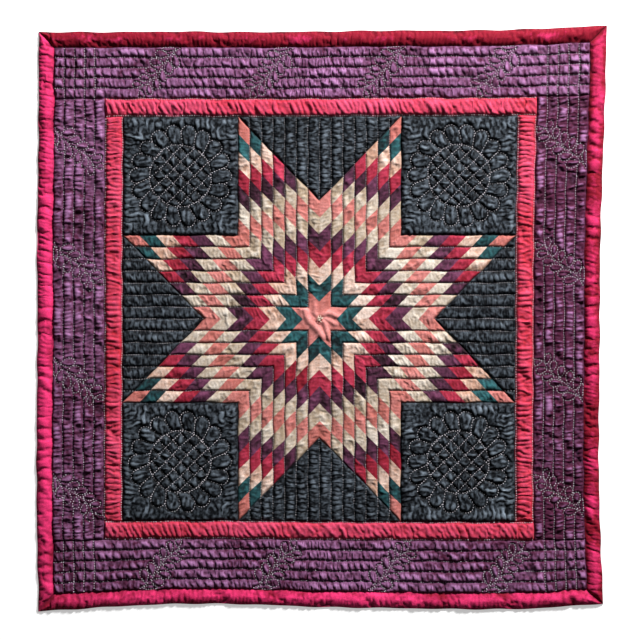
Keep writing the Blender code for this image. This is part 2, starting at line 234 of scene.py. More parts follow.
@dataclass(frozen=True)
class Wreath:
    """The feather wreath in a corner square."""

    lobes: int = 18
    radius: float = 0.0972
    ring: float = 0.0590
    head: float = 0.0140
    swirl: float = math.radians(15)
    opening: tuple[float, float] = (math.radians(-112), math.radians(84))
    hatch: float = 0.019
    lobe_places: int = 15
    ring_places: int = 73

    def lines(self, middle: np.ndarray) -> Iterator[np.ndarray]:
        """Yield the stitched lines round a middle: each lobe, the ring and the hatching inside it."""
        for k in range(self.lobes):
            turn = 2 * math.pi * k / self.lobes
            head = (self.radius - self.head) * heading(turn)
            tail = self.ring * heading(turn - self.swirl)
            away = math.atan2(head[1] - tail[1], head[0] - tail[0])
            leans = away + np.linspace(*self.opening, self.lobe_places)
            round_head = head + self.head * np.stack([np.cos(leans), np.sin(leans)], axis=1)
            yield middle + np.vstack([tail, round_head])
        turns = np.linspace(0, 2 * math.pi, self.ring_places)
        yield middle + self.ring * np.stack([np.cos(turns), np.sin(turns)], axis=1)
        most = math.floor(self.ring / self.hatch)
        for k in range(-most, most + 1):
            off = k * self.hatch
            half = math.sqrt(self.ring**2 - off**2)
            for one, other in ((-EIGHTH, EIGHTH), (EIGHTH, -EIGHTH)):
                ends = [heading(one) * off + heading(other) * end for end in (-half, half)]
                yield middle + np.array(ends)


@dataclass(frozen=True)
class Spray:
    """A feather spray that crosses the wide border from the binding inwards.

    run and reach say how far the stem goes along the border and in from the binding, bend how far it
    sways, and stop how far from it the channels end. The leaves start at first and follow each other by
    step, as shares of the stem; stagger sets those of one side behind the other's. A leaf's stalk and
    blade are shares of its length, and skew and plump give its rounded outline.
    """

    pitch: float
    offset: float
    count: int = 4
    run: float = 0.083
    reach: float = 0.080
    bend: float = 0.003
    stop: float = 0.007
    pairs: int = 6
    first: float = 0.13
    step: float = 0.162
    length: float = 0.0305
    width: float = 0.0160
    turn: float = math.radians(55)
    shrink: float = 0.05
    stagger: float = 0.25
    stalk: float = 0.07
    blade: float = 0.93
    skew: float = 1.5
    plump: float = 0.55
    stem_start: float = 0.03
    stem_places: int = 14
    leaf_places: int = 11
    shortest: float = 0.010

    def stem(self, share: np.ndarray | float) -> np.ndarray:
        """Points of the stem: how far it has run along the border and in from the binding."""
        share = np.asarray(share, float)
        sway = self.bend * np.sin(2 * np.pi * share)
        return np.stack([self.run * share + sway, self.reach * share - sway], axis=-1)

    def starts(self) -> list[float]:
        """Where along a side each spray leaves the binding."""
        return [self.pitch * (k - (self.count - 1) / 2) + self.offset for k in range(self.count)]

    def lines(self) -> Iterator[np.ndarray]:
        """Yield a spray's stem and its rounded leaves, along and in from the spray's base."""
        yield self.stem(np.linspace(self.stem_start, 1, self.stem_places))
        lean = math.atan2(self.reach, self.run)
        shares = np.linspace(0, 1, self.leaf_places)
        places = self.stalk + self.blade * shares
        halves = np.sin(np.pi * shares**self.skew) ** self.plump / 2
        for pair in range(self.pairs):
            size = 1 - self.shrink * pair
            for side in (-1, 1):
                root = self.stem(self.first + self.step * (pair + self.stagger * side))
                turn = lean + side * self.turn
                ahead = heading(turn) * self.length * size
                aside = heading(turn + math.pi / 2) * self.width * size
                near = root + np.outer(places, ahead) + np.outer(halves, aside)
                far = root + np.outer(places, ahead) - np.outer(halves, aside)
                yield np.vstack([near, far[::-1]])

    def clear(self, half: float, inwards: float) -> list[tuple[float, float]]:
        """Find the stretches of a straight line that no spray interrupts.

        Args:
            half: How far the line reaches each way from the middle of the side.
            inwards: How far in from the binding it lies.

        Returns:
            The two ends of each stretch, along the side.
        """
        stem = float(self.stem(min(inwards / self.reach, 1.0))[0])
        crossed = [stem - self.stop, stem + self.stop]
        for line in self.lines():
            before, after = line[:-1], line[1:]
            cut = (before[:, 1] - inwards) * (after[:, 1] - inwards) < 0
            share = (inwards - before[cut, 1]) / (after[cut, 1] - before[cut, 1])
            crossed += list(before[cut, 0] + share * (after[cut, 0] - before[cut, 0]))
        stretches, here = [], -half
        for start in self.starts():
            stretches.append((here, max(start + min(crossed), -half)))
            here = min(start + max(crossed), half)
        stretches.append((here, half))
        return [(low, high) for low, high in stretches if high - low > self.shortest]


def heading(turn: float) -> np.ndarray:
    """The unit vector at this angle from +X."""
    return np.array([math.cos(turn), math.sin(turn)])


def segments_of(lines: list[np.ndarray]) -> tuple[np.ndarray, np.ndarray]:
    """The starts and the ends of all the stretches of some lines."""
    if not lines:
        return np.zeros((0, 2)), np.zeros((0, 2))
    return np.concatenate([line[:-1] for line in lines]), np.concatenate([line[1:] for line in lines])


def distance_to(points: np.ndarray, lines: list[np.ndarray], reach: float) -> np.ndarray:
    """Measure how far points lie from the nearest of some lines.

    Args:
        points: Layout points, one to a row.
        lines: Lines of layout points.
        reach: The largest distance that matters.

    Returns:
        Each point's distance, at most reach.
    """
    best = np.full(len(points), reach**2)
    for start, end in zip(*segments_of(lines)):
        low, high = np.minimum(start, end) - reach, np.maximum(start, end) + reach
        near = np.flatnonzero(((points > low) & (points < high)).all(axis=1))
        if not len(near):
            continue
        stretch = end - start
        gap = points[near] - start
        share = np.clip(gap @ stretch / max(stretch @ stretch, TINY), 0, 1)
        gap -= share[:, None] * stretch
        best[near] = np.minimum(best[near], (gap * gap).sum(axis=1))
    return np.sqrt(best)


@dataclass(frozen=True)
class Padding:
    """How the batting fills the cloth between its quilting lines.

    seam is the height at a line, rise how much higher the puff gets, and run how far from the line it
    does most of its rising.
    """

    rise: float
    run: float
    seam: float = 0.0018

    def height(self, distance: np.ndarray) -> np.ndarray:
        """The height of the smooth puff at these distances from the nearest line."""
        return self.seam + self.rise * (1 - np.exp(-distance / self.run))


QUILTED = Padding(rise=0.0042, run=0.0026)
PIECED = Padding(rise=0.0024, run=0.0018)
PLAIN = Padding(rise=0.0044, run=0.0028)
ROLLED = Padding(rise=0.0060, run=0.0072)
CHANNELLED = Padding(rise=0.0037, run=0.0019)
GATHERED = Padding(rise=0.0032, run=0.0012)


@dataclass
class Spread:
    """A panel's flat mesh: layout points, faces seen from above, its rim, each face's cloth and tone."""

    points: np.ndarray
    faces: np.ndarray
    rim: np.ndarray
    materials: np.ndarray | None = None
    tones: np.ndarray | None = None


def grid_spread(corners: np.ndarray, across: int, along: int) -> Spread:
    """Lay an even mesh over a four-cornered panel.

    Args:
        corners: The corners, counterclockwise.
        across: How many cells lie between the first corner and the second.
        along: How many cells lie between the first corner and the last.

    Returns:
        The mesh.
    """
    u = np.linspace(0, 1, across + 1)[None, :, None]
    v = np.linspace(0, 1, along + 1)[:, None, None]
    a, b, c, d = (np.asarray(corner, float) for corner in corners)
    points = (1 - v) * ((1 - u) * a + u * b) + v * ((1 - u) * d + u * c)
    index = np.arange((across + 1) * (along + 1)).reshape(along + 1, across + 1)
    faces = np.stack([index[:-1, :-1], index[:-1, 1:], index[1:, 1:], index[1:, :-1]], axis=-1)
    rim = np.concatenate([index[0, :-1], index[:-1, -1], index[-1, :0:-1], index[:0:-1, 0]])
    return Spread(points.reshape(-1, 2), faces.reshape(-1, 4), rim)


def triangle_spread(corners: np.ndarray, count: int) -> Spread:
    """Lay an even mesh over a three-cornered panel, with count cells to each side.

    Args:
        corners: The corners, counterclockwise.
        count: How many cells lie along each side.

    Returns:
        The mesh.
    """
    a, b, c = (np.asarray(corner, float) for corner in corners)
    points, rows = [], []
    for j in range(count + 1):
        rows.append(len(points) + np.arange(count + 1 - j))
        points += [a + (b - a) * i / count + (c - a) * j / count for i in range(count + 1 - j)]
    faces = []
    for low, high in zip(rows[:-1], rows[1:]):
        faces.append(np.stack([low[:-1], low[1:], high], axis=1))
        if len(high) > 1:
            faces.append(np.stack([low[1:-1], high[1:], high[:-1]], axis=1))
    rim = np.concatenate([
        rows[0][:-1],
        [row[-1] for row in rows[:-1]],
        [row[0] for row in rows[:0:-1]],
    ])
    return Spread(np.array(points), np.concatenate(faces), rim)


class Region(Enum):
    """Where on the quilt a ripple of the cloth belongs.

    The folds of a level region follow each other from left to right, those of an upright one from top
    to bottom.
    """

    LEVEL_FIELD = "level field"
    UPRIGHT_FIELD = "upright field"
    LEVEL_TRIANGLE = "level triangle"
    UPRIGHT_TRIANGLE = "upright triangle"
    LEVEL_STAR = "level star"
    UPRIGHT_STAR = "upright star"
    LEVEL_STRIPS = "level strips"
    UPRIGHT_STRIPS = "upright strips"
    LEVEL_NARROW = "level narrow"
    UPRIGHT_NARROW = "upright narrow"
    LEVEL_BINDING = "level binding"
    UPRIGHT_BINDING = "upright binding"

    @property
    def level(self) -> bool:
        """Whether the folds follow each other from left to right."""
        return self.value.startswith("level")

    @property
    def star(self) -> bool:
        """Whether the region is part of the star."""
        return self.value.endswith("star")

    @property
    def padding(self) -> Padding:
        """How the batting fills the cloth here."""
        if self.star:
            return PIECED
        if self.value.endswith("strips"):
            return CHANNELLED if self.level else GATHERED
        if self.value.endswith("binding"):
            return ROLLED
        return PLAIN if self.value.endswith("narrow") else QUILTED

    @property
    def crossing(self) -> float:
        """How much of a fold carries on over the quilting lines."""
        if self.value.endswith("strips"):
            return 0.6 if self.level else 1.0
        return 0.3 if self.value.endswith("narrow") else 0.1

    @property
    def looseness(self) -> float:
        """How much of the cloth's full slack this region has."""
        if self.star:
            return 0.45
        return 0.5 if self.value.endswith(("triangle", "binding")) else 1.0


# How far the waves' frequency strays from its middle, as a share of it
BAND = 0.42
# How much of the noise folded over at zero, less about its mean, and of the plain noise is in a fold
CREASED, MEAN_CREASE, ROUNDED = 1.5, 0.8, 0.35


def band_noise(shape: tuple[int, int], spacing: float, wave: float, spread: float, turn: float, seed: int
               ) -> np.ndarray:
    """Make a field of random waves.

    Args:
        shape: The grid's rows and columns.
        spacing: How far apart the grid's points are.
        wave: The length of the waves.
        spread: How long each wave stays whole.
        turn: The direction in which the waves follow each other.
        seed: The random numbers' seed.

    Returns:
        The field, with a spread of one about zero.
    """
    noise = np.random.default_rng(seed).standard_normal(shape)
    up = np.fft.fftfreq(shape[0], spacing)[:, None]
    right = np.fft.rfftfreq(shape[1], spacing)[None, :]
    cosine, sine = math.cos(turn), math.sin(turn)
    following = np.abs(right * cosine + up * sine) * wave
    whole = (up * cosine - right * sine) * spread
    band = np.exp(-(((following - 1) / BAND) ** 2)) * np.exp(-(whole**2))
    waves = np.fft.irfft2(np.fft.rfft2(noise) * band, shape)
    return waves / waves.std()


@dataclass(frozen=True)
class Ripple:
    """A family of small folds in the gathered cloth.

    wave is the length of the noise that they are cut from, spread how long each fold stays whole, turn
    the direction in which the folds follow each other, in degrees, and size their height. Folding the
    noise over at zero leaves round folds with sharp creases between them.
    """

    wave: float
    spread: float
    turn: float
    size: float
    seed: int

    def field(self, shape: tuple[int, int], spacing: float) -> np.ndarray:
        """The folds' heights over an even grid."""
        noise = band_noise(shape, spacing, self.wave, self.spread, math.radians(self.turn), self.seed)
        return self.size * (CREASED * (np.abs(noise) - MEAN_CREASE) + ROUNDED * noise)


RIPPLES = {
    Region.LEVEL_FIELD: (Ripple(0.0220, 0.021, 8, 0.00115, 11),),
    Region.UPRIGHT_FIELD: (Ripple(0.0200, 0.023, 94, 0.00120, 12),),
    Region.LEVEL_TRIANGLE: (Ripple(0.0210, 0.018, 12, 0.00115, 23),),
    Region.UPRIGHT_TRIANGLE: (Ripple(0.0190, 0.018, 96, 0.00115, 24),),
    Region.LEVEL_STAR: (Ripple(0.0128, 0.016, 16, 0.00140, 13),),
    Region.UPRIGHT_STAR: (Ripple(0.0128, 0.017, 98, 0.00140, 14),),
    Region.LEVEL_STRIPS: (
        Ripple(0.0300, 0.040, 24, 0.00190, 15),
        Ripple(0.0160, 0.022, 12, 0.00060, 25),
    ),
    Region.UPRIGHT_STRIPS: (
        Ripple(0.0156, 0.042, 95, 0.00370, 16),
        Ripple(0.0125, 0.014, 74, 0.00050, 26),
    ),
    Region.LEVEL_NARROW: (Ripple(0.0200, 0.044, 32, 0.00180, 17),),
    Region.UPRIGHT_NARROW: (
        Ripple(0.0180, 0.040, 86, 0.00230, 18),
        Ripple(0.0125, 0.018, 70, 0.00060, 27),
    ),
    Region.LEVEL_BINDING: (
        Ripple(0.0280, 0.030, -30, 0.00170, 19),
        Ripple(0.0160, 0.024, -16, 0.00070, 21),
    ),
    Region.UPRIGHT_BINDING: (
        Ripple(0.0440, 0.048, 84, 0.00190, 20),
        Ripple(0.0180, 0.036, 74, 0.00050, 22),
    ),
}


@dataclass(frozen=True)
class LooseMiddle:
    """The unquilted middle of the star, which the tie has drawn into a few heavy folds.

    Each fold is a line of layout points in mm, with how wide and how high it stands, and fades out
    within fold_reach. dimple is the hollow round the tie, and within quiet there are no small folds.
    """

    folds: tuple[tuple[tuple[tuple[float, float], ...], float, float], ...] = (
        (((-28, 18), (-25, 5), (-19, -6), (-10, -14), (-1, -23), (6, -34)), 6.4, 3.2),
        (((3, 5), (12, 10), (24, 9), (35, 4)), 5.6, 2.6),
        (((4, -3), (10, -10), (13, -20), (18, -33)), 5.0, 2.6),
        (((-4, 4), (-10, 12), (-8, 24)), 4.6, 1.8),
        (((8, 0), (18, -4), (29, -10)), 4.4, 1.6),
        (((-13, -1), (-22, -14), (-27, -26)), 4.4, 1.2),
    )
    dimple: float = 0.0050
    quiet: float = 0.036
    reach: float = 0.06
    fold_reach: float = 0.02

    def lift(self, points: np.ndarray) -> np.ndarray:
        """How far the folds raise the cloth at these layout points."""
        raised = np.zeros(len(points))
        near = np.flatnonzero(np.hypot(points[:, 0], points[:, 1]) < self.reach)
        for line, width, height in self.folds:
            away = distance_to(points[near], [MM * np.array(line, float)], self.fold_reach)
            fold = MM * height * np.exp(-((1000 * away / width) ** 2))
            raised[near] = np.maximum(raised[near], fold)
        away = np.hypot(points[near, 0], points[near, 1])
        raised[near] *= 1 - np.exp(-((away / self.dimple) ** 2))
        return raised


# The widths over which one region passes into the next: at a strip's seam, at a mitre, between the
# sides of a square, and between the level and the upright points of the star, in sides of a point
SEAM_BLEND, MITRE_BLEND, SQUARE_BLEND, STAR_BLEND = 0.003, 0.004, 0.03, 0.06
# The wave, spread and turn, in radians, of the slow change in how strongly the cloth is gathered
UNEVEN = (0.085, 0.07, 0.6)
# How much of its error a thread makes good in a round, a straight one and a slanting one
STRAIGHT_GIVE, SLANTING_GIVE = 0.9, 0.5
# In place of the weight of a thread whose two ends are both held
BOTH_HELD = 1e-6
# How many cells a place stays short of the grid's count, so that it always has a next row and column
LAST_CELL = 1.001


def soft_step(past: np.ndarray, width: float) -> np.ndarray:
    """A share that rises from 0 to 1 over this width about zero."""
    return np.clip(past / width + 0.5, 0, 1)


@dataclass
class SettledCloth:
    """The quilt's top as one cloth, settled over the batting between its quilting lines.

    The cloth is a grid of threads that are longer than the quilt they cover, so they gather into small
    folds. Each round pulls every thread to its own length, lets stiffness smooth the folds and draws
    them towards the batting. Points nearer to a line than the share held of a cell stay where they are,
    and the small folds fade out over grid_fade in the grid and over face_fade in the panels' faces.
    uneven is how strongly the gathering changes over the quilt, within the two limits in gathers, and
    lowest the least height of a face, as a share of its height at a line.
    """

    layout: Layout
    middle: LooseMiddle = field(default_factory=LooseMiddle)
    spacing: float = CELL
    slack_along: float = 0.18
    slack_across: float = 0.05
    rounds: int = 70
    quick_rounds: int = 8
    stiffness: float = 0.05
    softness: float = 0.008
    held: float = 0.55
    grid_fade: float = 0.0028
    face_fade: float = 0.002
    lowest: float = 0.6
    uneven: float = 0.60
    gathers: tuple[float, float] = (0.15, 2.0)
    seed: int = 5
    lift: np.ndarray = field(init=False)
    shift: np.ndarray = field(init=False)
    low: np.ndarray = field(init=False)
    step: np.ndarray = field(init=False)

    def settle(self, lines: list[np.ndarray]) -> None:
        """Settle the cloth, held down along these lines."""
        half = self.layout.edge
        counts = np.ceil(2 * half / self.spacing).astype(int)
        self.low, self.step = -half, 2 * half / counts
        axes = [np.linspace(-half[k], half[k], counts[k] + 1) for k in (0, 1)]
        x, y = np.meshgrid(*axes)
        distance = self._grid_distance(lines, axes)
        regions = self._regions(x, y)
        puff = sum(share * region.padding.height(distance) for region, share in regions.items())
        free = distance > self.held * self.spacing
        free[[0, -1], :] = False
        free[:, [0, -1]] = False
        fade = np.clip(distance / self.grid_fade, 0, 1)
        folds = np.zeros_like(puff)
        slack = np.zeros((2, *puff.shape))
        for region, share in regions.items():
            lasting = share * (region.crossing + (1 - region.crossing) * fade)
            for ripple in RIPPLES[region]:
                folds += lasting * ripple.field(puff.shape, self.spacing)
            loose = share * region.looseness
            slack[0] += loose * (self.slack_along if region.level else self.slack_across)
            slack[1] += loose * (self.slack_across if region.level else self.slack_along)
        uneven = band_noise(puff.shape, self.spacing, *UNEVEN, self.seed)
        folds *= np.clip(1 + self.uneven * uneven, *self.gathers)
        calm = 1 - np.exp(-((np.hypot(x, y) / self.middle.quiet) ** 4))
        self._relax(x, y, puff, puff + folds * calm, free, slack * calm)

    def _grid_distance(self, lines: list[np.ndarray], axes: list[np.ndarray]) -> np.ndarray:
        """How far each grid point is from the nearest line, found a stretch of line at a time."""
        best = np.full((len(axes[1]), len(axes[0])), REACH**2)
        for start, end in zip(*segments_of(lines)):
            low, high = np.minimum(start, end) - REACH, np.maximum(start, end) + REACH
            spans = [slice(*np.searchsorted(axes[k], [low[k], high[k]])) for k in (0, 1)]
            gap_x = axes[0][spans[0]][None, :] - start[0]
            gap_y = axes[1][spans[1]][:, None] - start[1]
            stretch = end - start
            length = max(stretch @ stretch, TINY)
            share = np.clip((gap_x * stretch[0] + gap_y * stretch[1]) / length, 0, 1)
            found = (gap_x - share * stretch[0]) ** 2 + (gap_y - share * stretch[1]) ** 2
            window = best[spans[1], spans[0]]
            np.minimum(window, found, out=window)
        return np.sqrt(best)

    def _regions(self, x: np.ndarray, y: np.ndarray) -> dict[Region, np.ndarray]:
        """How much each grid point belongs to each region, as soft shares that add up to one."""
        layout = self.layout
        steps = [np.abs(axis) for axis in (x, y)]

        def past(axis: int, line: float) -> np.ndarray:
            """How far each point is past a seam across this axis, as a soft share."""
            return soft_step(steps[axis] - line, SEAM_BLEND)

        bound = np.maximum(past(0, layout.outer[0]), past(1, layout.outer[1]))
        wide = np.maximum(past(0, layout.inner[0]), past(1, layout.inner[1])) - bound
        narrow = np.maximum(past(0, layout.field[0]), past(1, layout.field[1])) - bound - wide
        inside = 1 - bound - wide - narrow
        # A strip is level where the point lies further out towards the top or bottom than to a side
        level_bound = soft_step(steps[1] - layout.outer[1] - steps[0] + layout.outer[0], MITRE_BLEND)
        level_wide, level_narrow = past(1, layout.inner[1]), past(1, layout.field[1])
        corner = SLANT * layout.diamond
        cells = [steps[k] / layout.diamond[k] for k in (0, 1)]
        triangle_level = (cells[1] > cells[0] + 1) & (steps[0] < corner[0])
        triangle_upright = (cells[0] > cells[1] + 1) & (steps[1] < corner[1])
        square = (steps[0] > corner[0]) & (steps[1] > corner[1])
        # A square's creases run in from its nearest side, a triangle's across its quilting lines
        off = [np.abs(steps[k] - corner[k] - layout.diamond[k] / 2) for k in (0, 1)]
        above = soft_step(off[1] - off[0], SQUARE_BLEND)
        star = inside * ~(square | triangle_level | triangle_upright)
        beside = soft_step(cells[0] - cells[1], STAR_BLEND)
        return {
            Region.LEVEL_FIELD: inside * square * above,
            Region.UPRIGHT_FIELD: inside * square * (1 - above),
            Region.LEVEL_TRIANGLE: inside * triangle_upright,
            Region.UPRIGHT_TRIANGLE: inside * triangle_level,
            Region.LEVEL_STAR: star * beside,
            Region.UPRIGHT_STAR: star * (1 - beside),
            Region.LEVEL_STRIPS: wide * level_wide,
            Region.UPRIGHT_STRIPS: wide * (1 - level_wide),
            Region.LEVEL_NARROW: narrow * level_narrow,
            Region.UPRIGHT_NARROW: narrow * (1 - level_narrow),
            Region.LEVEL_BINDING: bound * level_bound,
            Region.UPRIGHT_BINDING: bound * (1 - level_bound),
        }

    def _relax(self, x: np.ndarray, y: np.ndarray, puff: np.ndarray, z: np.ndarray, free: np.ndarray,
               slack: np.ndarray) -> None:
        """Pull the threads to their lengths, round after round, and keep where the cloth ends up."""
        place = [np.array(axis, np.float32) for axis in (x, y, z)]
        puff = puff.astype(np.float32)
        weight = free.astype(np.float32)
        still = [axis.copy() for axis in place]
        still[2] = puff
        pulls = list(self._threads(still, weight, slack))
        for _ in range(self.rounds):
            for first, second, rest, share_first, share_second in pulls:
                gaps = [axis[second] - axis[first] for axis in place]
                length = np.sqrt(gaps[0] ** 2 + gaps[1] ** 2 + gaps[2] ** 2)
                pull = 1 - rest / length
                for axis, gap in zip(place, gaps):
                    gap *= pull
                    axis[first] += gap * share_first
                    axis[second] -= gap * share_second
            lift = place[2] - puff
            smooth = lift.copy()
            smooth[1:-1, 1:-1] = (
                lift[:-2, 1:-1] + lift[2:, 1:-1] + lift[1:-1, :-2] + lift[1:-1, 2:]
            ) / 4
            lift += self.stiffness * (smooth - lift)
            place[2] = puff + lift * (1 - self.softness) * weight
        self.lift = place[2] - puff
        self.shift = np.stack([place[0] - still[0], place[1] - still[1]], axis=-1)

    def _threads(self, still: list[np.ndarray], weight: np.ndarray, slack: np.ndarray) -> Iterator[tuple]:
        """Yield the cloth's threads in groups that share no point: level, upright and both diagonals."""
        for down, right in ((0, 1), (1, 0), (1, 1), (1, -1)):
            for parity in (0, 1):
                first, second = self._ends(down, right, parity)
                level = slack[0][first] if right else 0.0
                upright = slack[1][first] if down else 0.0
                gaps = [axis[second] - axis[first] for axis in still]
                rest = np.sqrt(
                    (gaps[0] * (1 + level)) ** 2 + (gaps[1] * (1 + upright)) ** 2 + gaps[2] ** 2
                )
                one, other = weight[first], weight[second]
                both = np.maximum(one + other, BOTH_HELD)
                give = SLANTING_GIVE if down and right else STRAIGHT_GIVE
                yield first, second, rest.astype(np.float32), give * one / both, give * other / both

    @staticmethod
    def _ends(down: int, right: int, parity: int) -> tuple[tuple[slice, slice], tuple[slice, slice]]:
        """The grid's points at the first and at the second end of one group of threads."""
        # Every second row or column, so that no point is pulled twice at once
        apart, apart_to = slice(parity, -1, 2), slice(parity + 1, None, 2)
        if not down:
            return (slice(None), apart), (slice(None), apart_to)
        if not right:
            return (apart, slice(None)), (apart_to, slice(None))
        near, far = slice(0, -1), slice(1, None)
        return (apart, near if right > 0 else far), (apart_to, far if right > 0 else near)

    def shape(self, points: np.ndarray, lines: list[np.ndarray], seams: list[np.ndarray], padding: Padding
              ) -> np.ndarray:
        """Give flat layout points the shape of the settled cloth.

        Args:
            points: Layout points, one to a row.
            lines: The lines that hold the cloth down near them.
            seams: Those of the lines at which the folds die out.
            padding: How the batting fills the cloth there.

        Returns:
            The points in three dimensions, still in the layout's own outline.
        """
        distance = distance_to(points, lines, REACH)
        fade = np.clip(distance_to(points, seams, REACH) / self.face_fade, 0, 1)
        moved = self._between(points)
        flat = points + moved[:, :2] * fade[:, None]
        height = padding.height(distance) + (moved[:, 2] + self.middle.lift(points)) * fade
        return np.column_stack([flat, np.maximum(height, self.lowest * padding.seam)])

    def _between(self, points: np.ndarray) -> np.ndarray:
        """The cloth's sideways shift and lift at layout points, read between the grid's points."""
        rows, columns = self.lift.shape
        place = (points - self.low) / self.step
        column = np.clip(place[:, 0], 0, columns - LAST_CELL)
        row = np.clip(place[:, 1], 0, rows - LAST_CELL)
        i, j = column.astype(int), row.astype(int)
        s, t = (column - i)[:, None], (row - j)[:, None]
        table = np.concatenate([self.shift, self.lift[..., None]], axis=-1)
        return (
            table[j, i] * (1 - s) * (1 - t) + table[j, i + 1] * s * (1 - t)
            + table[j + 1, i] * (1 - s) * t + table[j + 1, i + 1] * s * t
        )


@dataclass(frozen=True)
class Grain:
    """A noise, and the values that it runs between while the noise runs from low to high."""

    scale: float
    detail: float
    low: float
    high: float
    start: float = 0.0
    end: float = 1.0


# The noises of the mottled dye, of the yarn's slubs, of the cloth's roughness and of a thread's colour
MOTTLE = Grain(120.0, 3.0, 0.30, 0.72, -0.20, 0.26)
SLUB = Grain(620.0, 2.0, 0.35, 0.65, 0.78, 1.18)
GLOSS = Grain(300.0, 2.0, 0.3, 0.7)
STRAND = Grain(260.0, 2.0, 0.3, 0.7)
# A mix node's sockets for the two colours and for the colour between them
MIX_FIRST, MIX_SECOND, MIXED = 6, 7, 2


class NodeTree:
    """A small helper that adds nodes to a material and joins them."""

    def __init__(self, name: str) -> None:
        """Start a material with only its shader and its output."""
        self.material = bpy.data.materials.new(name)
        self.material.use_nodes = True
        self.tree = self.material.node_tree
        self.shader = self.tree.nodes["Principled BSDF"]

    def add(self, kind: str, inputs: dict | None = None, **settings: object) -> bpy.types.Node:
        """Add a node.

        Args:
            kind: The node's type.
            inputs: Values or other nodes' outputs for its sockets, by name or number.
            settings: Properties of the node itself.

        Returns:
            The node.
        """
        node = self.tree.nodes.new(kind)
        for name, value in settings.items():
            setattr(node, name, value)
        for socket, value in (inputs or {}).items():
            self.put(node.inputs[socket], value)
        return node

    def put(self, socket: bpy.types.NodeSocket, value: object) -> None:
        """Set a socket to a value, or join it to another node's output."""
        if isinstance(value, bpy.types.NodeSocket):
            self.tree.links.new(value, socket)
        else:
            socket.default_value = value

    def place(self) -> bpy.types.NodeSocket:
        """The object's own coordinates."""
        return self.add("ShaderNodeTexCoord").outputs["Object"]

    def noise(self, scale: float, detail: float, seed: float) -> bpy.types.NodeSocket:
        """A noise over the object's own coordinates, from 0 to 1."""
        moved = self.add("ShaderNodeVectorMath", {0: self.place(), 1: (seed, seed * 1.7, seed * 0.6)})
        node = self.add("ShaderNodeTexNoise", {"Vector": moved.outputs[0], "Scale": scale, "Detail": detail})
        return node.outputs["Fac"]

    def mix(self, share: object, first: object, second: object) -> bpy.types.NodeSocket:
        """A colour between two colours."""
        node = self.add("ShaderNodeMix", data_type="RGBA", clamp_factor=True)
        self.put(node.inputs[0], share)
        self.put(node.inputs[MIX_FIRST], first)
        self.put(node.inputs[MIX_SECOND], second)
        return node.outputs[MIXED]

    def ramp(self, value: object, low: float, high: float, start: float = 0.0, end: float = 1.0
             ) -> bpy.types.NodeSocket:
        """A value that runs from start to end while another runs from low to high."""
        inputs = {0: value, 1: low, 2: high, 3: start, 4: end}
        return self.add("ShaderNodeMapRange", inputs).outputs[0]

    def grain(self, grain: Grain, seed: float) -> bpy.types.NodeSocket:
        """A noise stretched to the values of this grain."""
        noise = self.noise(grain.scale, grain.detail, seed)
        return self.ramp(noise, grain.low, grain.high, grain.start, grain.end)

    def math(self, operation: str, first: object, second: object) -> bpy.types.NodeSocket:
        """The result of a sum on two values."""
        return self.add("ShaderNodeMath", {0: first, 1: second}, operation=operation).outputs[0]

    def bump(self, height: object, strength: float, distance: float, over: object = None
             ) -> bpy.types.NodeSocket:
        """The surface raised by a height, over another such surface if there is one."""
        inputs = {"Strength": strength, "Distance": distance, "Height": height}
        if over is not None:
            inputs["Normal"] = over
        return self.add("ShaderNodeBump", inputs).outputs[0]


